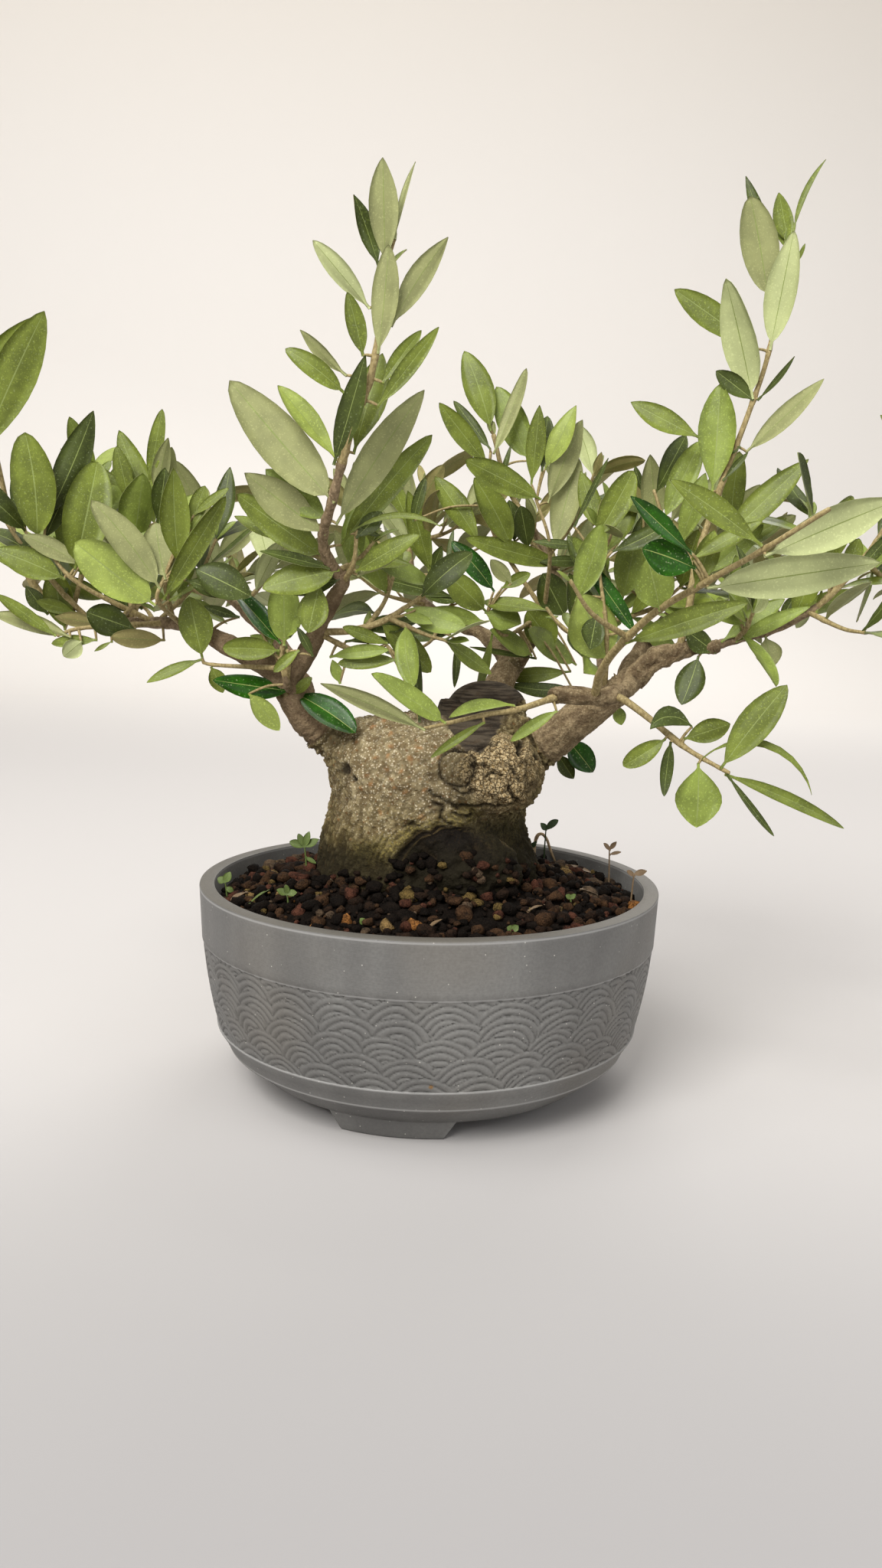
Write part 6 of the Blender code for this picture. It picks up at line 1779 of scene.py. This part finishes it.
def make_blades(chosen, dice):
    """Points and quads of a list of leaves, each with its upper skin and then its under skin."""
    count = len(chosen)
    each = (count, 1)
    told = np.array([(leaf.length, leaf.width, leaf.bend, leaf.kind == "seen") for leaf in chosen], float)
    length, width, bend, seen = told.T[:, :, None]
    frames = np.array([[list(row) for row in leaf.place] for leaf in chosen])
    width = width * dice.uniform(0.92, 1.12, each)
    arch = np.radians(np.where(seen, dice.normal(-8, 14, each), dice.normal(-20, 17, each)))
    sway = np.radians(bend + dice.normal(0, 6, each))
    fold = np.radians(dice.uniform(4, 24, each))
    roll = np.radians(dice.normal(0, 15, each))
    curl = dice.uniform(0.02, 0.09, each)
    outline = blade_outline(width / 2, dice.uniform(0.86, 1.12, each), dice.uniform(0.52, 0.84, each))
    steps = np.diff(STATIONS)
    middles = (STATIONS[1:] + STATIONS[:-1]) / 2
    rise = arch * (middles - 0.35)
    side = sway * (middles - 0.5)
    moves = (steps * np.cos(rise) * np.cos(side), steps * np.sin(side), steps * np.sin(rise))
    spine = np.pad(np.cumsum(np.stack(moves, axis=-1), axis=1), ((0, 0), (1, 0), (0, 0)))
    spine = spine * (length / np.sinc(sway / math.tau))[:, :, None]
    spine[:, :, 0] -= LEAF_SINK
    turn = (roll * STATIONS)[:, :, None]
    slope = (arch * (STATIONS - 0.35))[:, :, None]
    across = COLUMNS * outline[:, :, None]
    lift = np.abs(across) * np.tan(fold)[:, :, None] - curl[:, :, None] * across ** 2
    ripple = 0.10 * np.sin(STATIONS * 31)[:, None] * np.abs(COLUMNS) ** 2
    is_stalk = (STATIONS < STALK_SHARE + 0.02)[:, None]
    lift = np.where(is_stalk, 0.0, lift + ripple * np.minimum(1, outline[:, :, None] / 2))
    thick = np.where(is_stalk, STALK_THICK, BLADE_THICK) * (1 - 0.65 * np.abs(COLUMNS) ** 3)
    rib = np.where(np.abs(COLUMNS) < 0.3, MIDRIB_RAISE, 0.0) * (1 - STATIONS)[:, None]
    skins = []
    for shift in (thick / 2 - rib * 0.6, -thick / 2 - rib * 1.4):
        up = lift + shift
        y = across * np.cos(turn) - up * np.sin(turn)
        z = across * np.sin(turn) + up * np.cos(turn)
        skins.append(np.stack([-z * np.sin(slope), y, z * np.cos(slope)], axis=-1) + spine[:, :, None])
    points = np.stack(skins, axis=1).reshape(count, -1, 3)
    points = np.einsum("nij,npj->npi", frames[:, :3, :3], points) + frames[:, None, :3, 3]
    quads = BLADE_FACES + np.arange(count)[:, None, None] * points.shape[1]
    return points.reshape(-1, 3), quads.reshape(-1, 4)


def blade_faces():
    """One leaf's faces and what each is: 0 upper blade, 1 upper midrib, 2 under blade, 3 under midrib."""
    rows, columns = len(STATIONS), len(COLUMNS)
    index = np.arange(rows * columns).reshape(rows, columns)
    upper = grid_quads(index[:, :-1], index[:, 1:])
    under = upper[:, :, ::-1] + rows * columns
    is_rib = np.zeros(upper.shape[:2], int)
    is_rib[:, columns // 2 - 1] = 1
    faces = [upper.reshape(-1, 4), under.reshape(-1, 4)]
    for edge in (index[:, 0], index[::-1, -1], index[-1], index[0, ::-1]):
        low = edge + rows * columns
        faces.append(np.stack([edge[1:], low[1:], low[:-1], edge[:-1]], axis=-1))
    faces = np.concatenate(faces)
    ribs = np.concatenate([is_rib.ravel(), is_rib.ravel() + 2])
    return faces, np.append(ribs, np.full(len(faces) - len(ribs), 2))


BLADE_FACES, BLADE_KINDS = blade_faces()
print("a leaf has", 2 * len(BLADE_FACES), "triangles")

# %% [markdown]
# A leaf that the photograph shows has the shade that it shows there, on its upper side or its underside, so
# these shades also hold painted light and painted shade. The others get theirs dealt out from a short list
# for each part of the crown: yellow green as painted light where the left side catches the light, sage in the
# front spray, deep green as painted shade further in. Each shade is one finish with a fine mottling and the
# sheen of a leathery leaf.

# %% Shades of green
LEAF_SHADES = {
    "glossy": ((36, 81, 8), 0.34, 0.25, 0.55),
    "deep": ((71, 82, 31), 0.46, 0.16, 0.35),
    "middling": ((111, 123, 46), 0.46, 0.14, 0.35),
    "fresh": ((127, 142, 62), 0.44, 0.12, 0.3),
    "yellow": ((144, 158, 74), 0.44, 0.1, 0.25),
    "sage": ((144, 147, 97), 0.62, 0.07, 0.0),
    "pale": ((174, 181, 128), 0.64, 0.05, 0.0),
    "olive_brown": ((154, 145, 92), 0.62, 0.08, 0.0),
    "rib": ((130, 142, 78), 0.55, 0.05, 0.0),
}
# More yellow green on the left as painted light, more deep green inside the crown as painted shade.
DEALT_SHADES = {"left_crown": "yfmfd", "back_left_crown": "yfmfd", "left_inner": "fmfd", "leader": "mmfds",
                "right_leader": "mfsd", "front_spray": "sfsm", "right_inner": "dmdmf", "inner_spray": "dmdmf"}
DEALT_ELSEWHERE = "mmfdm"
DEALT_UNDERSIDES = "sspo"


def make_leaf_finish(name, shade, roughness, mottle, dusty):
    leather = Finish(name, roughness, Specular_IOR_Level=0.28)
    lighter = tuple(min(255, value * (1 + mottle) + 8) for value in shade)
    darker = tuple(value * (1 - 1.4 * mottle) for value in shade)
    dust = leather.noise(0.55, detail=2)
    specks = leather.cells(1.15, leather.bent_place(1.0, 0.6))
    leather.tone = leather.blend(leather.noise(6.5, detail=2).step(0.3, 0.72), darker, shade)
    leather.lay(dust.step(0.54, 0.72) * 0.75, lighter)
    leather.lay((1 - specks.step(0.05, 0.24)) * dusty, (158, 170, 128))
    leather.paint()
    leather.gloss(roughness - 0.06 + dust * 0.14)
    leather.bump(leather.noise(1.6, detail=3), 0.09)
    return leather


leaf_finishes = [make_leaf_finish("leaf_" + name, *made) for name, made in LEAF_SHADES.items()]
print("leaf finishes:", len(leaf_finishes))

# %% Build the leaves, mass by mass
SHADE_NUMBER = {name[0]: number for number, name in enumerate(LEAF_SHADES)}


def build_leaves(mass):
    chosen = [leaf for leaf in leaves if leaf.mass == mass.name]
    dice = np.random.default_rng(mass.seed)
    points, quads = make_blades(chosen, dice)
    table = []
    for leaf in chosen:
        upper = str(dice.choice(list(DEALT_SHADES.get(mass.name, DEALT_ELSEWHERE))))
        under = str(dice.choice(list(DEALT_UNDERSIDES)))
        if leaf.kind == "young":
            upper = "f"
        if leaf.shade and leaf.shade in UNDERSIDES:
            under = leaf.shade
        elif leaf.shade:
            upper = leaf.shade
        table.append([SHADE_NUMBER[letter] for letter in (upper, "r", under, "r")])
    mesh = make_mesh(mass.name + "_leaves", points, [quads])
    give_finishes(mesh, leaf_finishes, np.array(table)[:, BLADE_KINDS].ravel())
    set_piece(mesh, [mass.name])


for mass in MASSES:
    build_leaves(mass)

# %% [markdown]
# The twigs are tubes along the branches. Young shoots are smooth and grey green, and the foot of
# a thick stem is brown. A twig ends just past its last leaf.

# %% Build the twigs, mass by mass
PALE_STEMS = ("front_spray", "low_front_spray", "drooping_spray")
OLD_SHARE = 0.45
OLD_THICK = 1.35


def make_twig_finish(name, dark, light, size):
    skin = Finish(name, 0.7, Specular_IOR_Level=0.3)
    grain = skin.noise(size, skin.place((1, 1, 0.6)), detail=4)
    skin.tone = skin.blend(grain.step(0.3, 0.7), dark, light)
    skin.lay((1 - skin.cells(1.3).step(0.12, 0.3)) * 0.6, tuple(min(255, value + 22) for value in light))
    skin.paint()
    skin.bump(grain, 0.12)
    return skin


def build_twigs(mass):
    skin = Skin()
    of_sides, of_ends = [], []
    for branch in branches:
        end = branch.leafy + 1.0 if branch.trimmed else branch.route.length
        if branch.mass != mass.name or branch.trimmed and end < 3:
            continue
        line = Route(smooth(branch.route.points, 3)).until(end)
        rings, tip = tube_rings(line, branch.thick, branch.nodes, TUBE_SIDES, TUBE_STEP)
        skin.add(*tube_parts(rings, tip))
        woody = OLD_SHARE * (branch.thick[0] > OLD_THICK and mass.name not in PALE_STEMS)
        shares = np.repeat(np.arange(len(rings) - 1) / len(rings), TUBE_SIDES)
        of_sides.append(np.where(shares < woody, 0, 1))
        of_ends.append(np.repeat((0, 1), TUBE_SIDES))
    mesh = skin.mesh(mass.name + "_twigs")
    give_finishes(mesh, twig_finishes, np.concatenate(of_sides + of_ends))
    set_piece(mesh, [mass.name])


twig_finishes = [make_twig_finish("older_twig_bark", (96, 80, 58), (142, 122, 94), 1.0),
                 make_twig_finish("young_twig_skin", (122, 106, 68), (160, 144, 100), 0.8)]
for mass in MASSES:
    build_twigs(mass)

# %% [markdown]
# The bowl is filled with lava and clay granules, 1 to 5 mm across, heaped up a little round the
# trunk. A bumpy bed lies under them. Each granule is a small ball pushed out of round by noise,
# and its shade is dealt out from dark brown, red lava, olive clay and a few of orange.

# %% Bed of the soil
SOIL_PROFILE = ((0.0, 70.6), (42.0, 70.5), (51.0, 67.6), (62.9, 63.9), (71.6, 62.4))
SOIL_EDGE = 71.5
SOIL_REACH = 66.0
SOIL_LEVEL = 66.0
SOIL_ROUNDS = 6
BED_START = 24.0
BED_RINGS = 50
BED_SIDES = 200


def soil_height(across, along):
    """The height of the bed at a place, before its small bumps."""
    radii, heights = zip(*SOIL_PROFILE)
    return np.interp(np.hypot(across, along), radii, heights)


def make_bed():
    radii = np.linspace(BED_START, SOIL_EDGE, BED_RINGS)[:, None]
    angles = turns(BED_SIDES)[None, :]
    across, along = radii * np.cos(angles), radii * np.sin(angles)
    points = np.stack([across, along, soil_height(across, along)], axis=-1).reshape(-1, 3)
    points[:, 2] += 0.7 * roughness_at(points, 5.0, seed=40, octaves=3) - 0.5
    index = np.arange(len(points)).reshape(BED_RINGS, BED_SIDES)
    return points, grid_quads(index, np.roll(index, -1, axis=1)).reshape(-1, 4)


bed_points, bed_quads = make_bed()
print("bed of the soil:", len(bed_quads), "quads")

# %% Deal out the granules
GRANULE_SIZES = ((900, 3.4, 5.6), (1600, 2.2, 3.3), (2300, 1.1, 2.1))
GRANULE_CLOSE = 0.34
TRUNK_FOOT = (41.5, 36.5)
FOOT_SHARE = 0.93
GRANULE_SHADES = {
    "black": ((13, 9, 6), 30),
    "dark": ((27, 18, 12), 28),
    "brown": ((47, 32, 20), 22),
    "red": ((55, 32, 23), 11),
    "grey": ((62, 50, 38), 4),
    "olive": ((74, 60, 32), 3),
    "tan": ((88, 70, 42), 1.2),
    "orange": ((116, 76, 38), 0.4),
}
LISTED_GRANULES = (
    ((543, 1214), 5.0, "orange"), ((453, 1211), 4.2, "orange"), ((828, 1180), 4.8, "orange"),
    ((535, 1172), 5.6, "olive"), ((657, 1140), 5.6, "olive"), ((684, 1152), 8.5, "red"),
    ((702, 1160), 6.0, "red"), ((668, 1128), 6.5, "brown"), ((590, 1160), 6.0, "black"),
    ((612, 1172), 6.5, "olive"), ((630, 1190), 7.0, "black"), ((392, 1190), 6.0, "red"),
    ((420, 1172), 7.0, "brown"), ((350, 1150), 6.5, "brown"), ((505, 1205), 5.5, "tan"),
    ((770, 1170), 6.5, "grey"), ((745, 1150), 5.5, "dark"),
)
HEAPED = ((150, 512, 690, 1200, 84), (130, 406, 530, 1196, 56), (60, 660, 720, 1190, 62))
HEAPED_SIZES = (1.3, 4.4)
HEAPED_SHADES = (0.48, 0.26, 0.13, 0.06, 0.02, 0.03, 0.01, 0.01)
Granule = namedtuple("Granule", "place size shade")


def on_soil(across, down):
    """The spot of the soil at a place in the photograph, or below it where that is beyond the rim."""
    ray = photo_ray(across, down)
    start, aim = CAMERA_PLACE.xy, ray.xy
    slope = start.dot(aim)
    inside = slope ** 2 - aim.dot(aim) * (start.dot(start) - SOIL_REACH ** 2)
    farthest = (math.sqrt(max(0.0, inside)) - slope) / aim.dot(aim)
    height = SOIL_LEVEL
    for _ in range(SOIL_ROUNDS):
        spot = CAMERA_PLACE + ray * min(farthest, (height - CAMERA_PLACE.z) / ray.z)
        height = float(soil_height(spot.x, spot.y))
    return Vector((spot.x, spot.y, height))


def deal_granules():
    """Large granules first, then ever smaller ones where there is still room."""
    dice = np.random.default_rng(77)
    names = list(GRANULE_SHADES)
    weights = np.array([GRANULE_SHADES[name][1] for name in names], float)
    dealt = []
    for (across, down), size, shade in LISTED_GRANULES:
        dealt.append(Granule(tuple(on_soil(across, down)), size, names.index(shade)))
    for tries, low, high in GRANULE_SIZES:
        for _ in range(tries):
            size = dice.uniform(low, high)
            radius = math.sqrt(dice.uniform(0, 1)) * (SOIL_EDGE - size / 2 - 0.2)
            angle = dice.uniform(0, math.tau)
            across, along = radius * math.cos(angle), radius * math.sin(angle)
            if math.hypot(across / TRUNK_FOOT[0], along / TRUNK_FOOT[1]) < FOOT_SHARE:
                continue
            places = np.array([granule.place for granule in dealt])
            sizes = np.array([granule.size for granule in dealt])
            gaps = np.hypot(places[:, 0] - across, places[:, 1] - along)
            if np.any(gaps < GRANULE_CLOSE * (sizes + size)):
                continue
            height = float(soil_height(across, along)) + dice.uniform(-0.15, 0.35) * size
            shade = dice.choice(len(names), p=weights / weights.sum())
            dealt.append(Granule((across, along, height), size, int(shade)))
    for count, left, right, low, rise in HEAPED:
        for _ in range(count):
            across, down = dice.uniform(left, right), low - rise * dice.uniform(0, 1) ** 1.5
            hit = bark_tree.ray_cast(CAMERA_PLACE, photo_ray(across, down))[0]
            if hit is not None and hit.z > SOIL_LEVEL:
                shade = dice.choice(len(names), p=HEAPED_SHADES)
                dealt.append(Granule(tuple(hit + 0.2 * FRONT), dice.uniform(*HEAPED_SIZES), int(shade)))
    return dealt


granules = deal_granules()
print("granules:", len(granules))

# %% Build the granules
def ball_mesh(rounds):
    """An even ball of triangles as arrays."""
    ball = bmesh.new()
    bmesh.ops.create_icosphere(ball, subdivisions=rounds, radius=1)
    points = np.array([vertex.co[:] for vertex in ball.verts])
    faces = np.array([[vertex.index for vertex in face.verts] for face in ball.faces])
    ball.free()
    return points, faces


FACETS = 9
SMALL_GRANULE = 2.1


def shape_granules(chosen, rounds, seed):
    """All granules of a size at once: squashed, turned, and pushed out of round."""
    ball, faces = ball_mesh(rounds)
    dice = np.random.default_rng(seed)
    count = len(chosen)
    squash = dice.uniform(0.78, 1.22, (count, 1, 3))
    facings = dice.normal(size=(count, FACETS, 3))
    facings /= np.linalg.norm(facings, axis=2, keepdims=True)
    towards = np.maximum(np.einsum("pj,ckj->cpk", ball, facings), 0.01)
    cut = np.minimum(1, (dice.uniform(0.5, 0.92, (count, 1, FACETS)) / towards).min(axis=2))
    spots = (ball + dice.uniform(0, 900, (count, 1, 3))).reshape(-1, 3)
    push = roughness_at(spots, 1.1, seed=50, octaves=3).reshape(count, -1, 1)
    points = ball * squash * cut[:, :, None] * 1.12 * (1 + 0.26 * push)
    turn = dice.uniform(0, math.tau, count)
    cos, sin = np.cos(turn)[:, None], np.sin(turn)[:, None]
    flat = np.stack([points[..., 0] * cos - points[..., 1] * sin,
                     points[..., 0] * sin + points[..., 1] * cos, points[..., 2] * 0.85], axis=-1)
    sizes = np.array([granule.size for granule in chosen])[:, None, None]
    places = np.array([granule.place for granule in chosen])[:, None, :]
    points = flat * sizes / 2 + places
    index = faces[None] + (np.arange(count) * ball.shape[0])[:, None, None]
    shades = np.repeat([granule.shade for granule in chosen], len(faces))
    return points.reshape(-1, 3), index.reshape(-1, 3), shades


def make_granule_finish(name, shade):
    stone = Finish(name, 0.85, Specular_IOR_Level=0.06)
    coarse = stone.noise(2.4, detail=3)
    fine = stone.noise(0.5, detail=3, roughness=0.65)
    dark = tuple(value * 0.5 for value in shade)
    light = tuple(min(255, value * 1.35 + 8) for value in shade)
    stone.tone = stone.blend((coarse * 0.5 + fine * 0.5).step(0.34, 0.66), dark, light)
    stone.paint()
    stone.gloss(0.7 + 0.3 * coarse.step(0.3, 0.6))
    stone.bump(stone.cells(0.7), 0.22, stone.bump(fine, 0.35))
    return stone


granule_finishes = [make_granule_finish("granule_" + name, shade)
                    for name, (shade, _) in GRANULE_SHADES.items()]
large = [granule for granule in granules if granule.size >= SMALL_GRANULE]
small = [granule for granule in granules if granule.size < SMALL_GRANULE]
soil_points, soil_blocks, soil_shades = [bed_points], [bed_quads], [np.zeros(len(bed_quads))]
for chosen, rounds, seed in ((large, 2, 61), (small, 1, 62)):
    points, faces, shades = shape_granules(chosen, rounds, seed)
    soil_blocks.append(faces + sum(map(len, soil_points)))
    soil_points.append(points)
    soil_shades.append(shades)
soil_mesh = make_mesh("soil_granules", np.concatenate(soil_points), soil_blocks)
give_finishes(soil_mesh, granule_finishes, np.concatenate(soil_shades))
set_piece(soil_mesh, ["soil"])

# %% [markdown]
# Small things grow and lie on the soil: seedlings with round leaves, a pale root that arches out and dry
# leaves. Each is set where its foot shows in the photograph, and its leaves stand upright over that foot.

# %% Seedlings and dry leaves
# Kind, foot and head of the stalk, and its leaves: tip, width, and the start if it isn't the head
SEEDLINGS = (
    ("seedling", (401, 1138), (398, 1106), (
        (377, 1099, 2.6), (417, 1095, 2.7), (389, 1088, 2.6), (404, 1085, 2.6), (414, 1128, 1.7, 400, 1120))),
    ("seedling", (297, 1170), (294, 1152), ((283, 1146, 2.8), (301, 1138, 3.0), (306, 1164, 2.2, 296, 1160))),
    ("seedling", (377, 1184), (375, 1168), ((360, 1162, 2.6), (389, 1165, 2.4), (373, 1154, 2.0))),
    ("seedling", (506, 1146), (503, 1130), ((496, 1115, 3.4), (511, 1121, 3.2))),
    ("seedling", (476, 1213), (476, 1207), ((470, 1198, 2.2), (485, 1204, 2.2))),
    ("seedling", (670, 1222), (669, 1215), ((661, 1210, 2.2), (678, 1208, 2.2))),
    ("seedling", (746, 1180), (745, 1173), ((738, 1168, 1.8), (753, 1167, 1.8))),
    ("dark_seedling", (711, 1098), (713, 1084), (
        (706, 1074, 2.8), (730, 1070, 3.0), (692, 1108, 2.0, 700, 1100))),
    ("dry_leaf", (797, 1122), (796, 1110), ((788, 1100, 1.6), (806, 1098, 1.6), (812, 1112, 1.4, 797, 1116))),
    ("dry_leaf", (825, 1150), (828, 1142), ((846, 1137, 2.2), (818, 1136, 1.8, 828, 1144))),
)
LYING_LEAVES = (
    ("dry_leaf", (740, 1134), (772, 1146), 2.6), ("dry_leaf", (758, 1168), (782, 1176), 4.2),
    ("seedling", (326, 1187), (352, 1166), 0.9), ("dry_leaf", (322, 1172), (300, 1182), 2.2),
    ("dry_leaf", (560, 1196), (578, 1190), 1.6), ("dry_leaf", (440, 1152), (462, 1158), 1.4),
    ("dry_leaf", (690, 1190), (712, 1184), 1.6),
)
STALK_SIDES = 8
FINE_STEP = 0.8
SEEDLING_THICK = (0.34, 0.24)
SMALL_SHADES = {"seedling": (88, 104, 50), "dark_seedling": (46, 64, 30), "dry_leaf": (112, 92, 68)}


def small_leaf(start, end, width, up):
    place = leaf_place(start, end - start, up, 0.0)
    return Leaf("small", place, (end - start).length, width, "small", None, 0.0)


def build_small_growth(kind, shade):
    """All seedlings or dry leaves of a kind as one piece."""
    skin = Skin()
    blades = []
    for seedling, foot_spot, head_spot, tips in SEEDLINGS:
        if seedling != kind:
            continue
        foot = on_soil(*foot_spot)
        head = spot_at(*head_spot, foot.y)
        stalk = Route([foot - 1.5 * UP, foot.lerp(head, 0.5), head])
        skin.add(*tube_parts(*tube_rings(stalk, SEEDLING_THICK, (), STALK_SIDES, FINE_STEP)))
        for across, down, width, *start in tips:
            end = spot_at(across, down, foot.y) + 0.6 * (width - 2.4) * Vector((0, 1, 0))
            blades.append(small_leaf(spot_at(*(start or head_spot), foot.y), end, width, FRONT + 0.6 * UP))
    for lying, start, end, width in LYING_LEAVES:
        if lying == kind:
            blades.append(small_leaf(on_soil(*start) + 1.6 * UP, on_soil(*end) + 1.9 * UP, width, UP))
    skin.add(*make_blades(blades, np.random.default_rng(90 + len(kind))))
    mesh = skin.mesh(kind + "_growth")
    give_finishes(mesh, [make_leaf_finish(kind, shade, 0.6, 0.1, 0.1)])
    set_piece(mesh)


for kind, shade in SMALL_SHADES.items():
    build_small_growth(kind, shade)

# %% Arched root
ARCHED_ROOT = ((695, 1116), (700, 1096), (707, 1089), (714, 1096), (719, 1110), (727, 1128), (738, 1138))
ROOT_THICK = (0.75, 0.4)
ROOT_KNOTS = (5.0, 11.0)
ROOT_SIDES = 12

root_depth = on_soil(*ARCHED_ROOT[0]).y
root_spots = [spot_at(*spot, root_depth) for spot in ARCHED_ROOT]
for end in (root_spots[0], root_spots[-1]):
    end.z = soil_height(end.x, end.y) - 1.0
arched_root = Skin()
root_rings = tube_rings(Route(smooth(root_spots)), ROOT_THICK, ROOT_KNOTS, ROOT_SIDES, FINE_STEP)
arched_root.add(*tube_parts(*root_rings))
root_mesh = arched_root.mesh("arched_root")
give_finishes(root_mesh, [make_twig_finish("pale_root", (120, 98, 72), (176, 152, 118), 1.0)])
set_piece(root_mesh)

# %% Compare the sizes and finish
low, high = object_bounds()
for name, first, second in (("low", cad_low, low), ("high", cad_high, high)):
    change = [round((b - a) / MM, 1) for a, b in zip(first, second)]
    print(name, "corner, visual minus solids, in mm:", change)
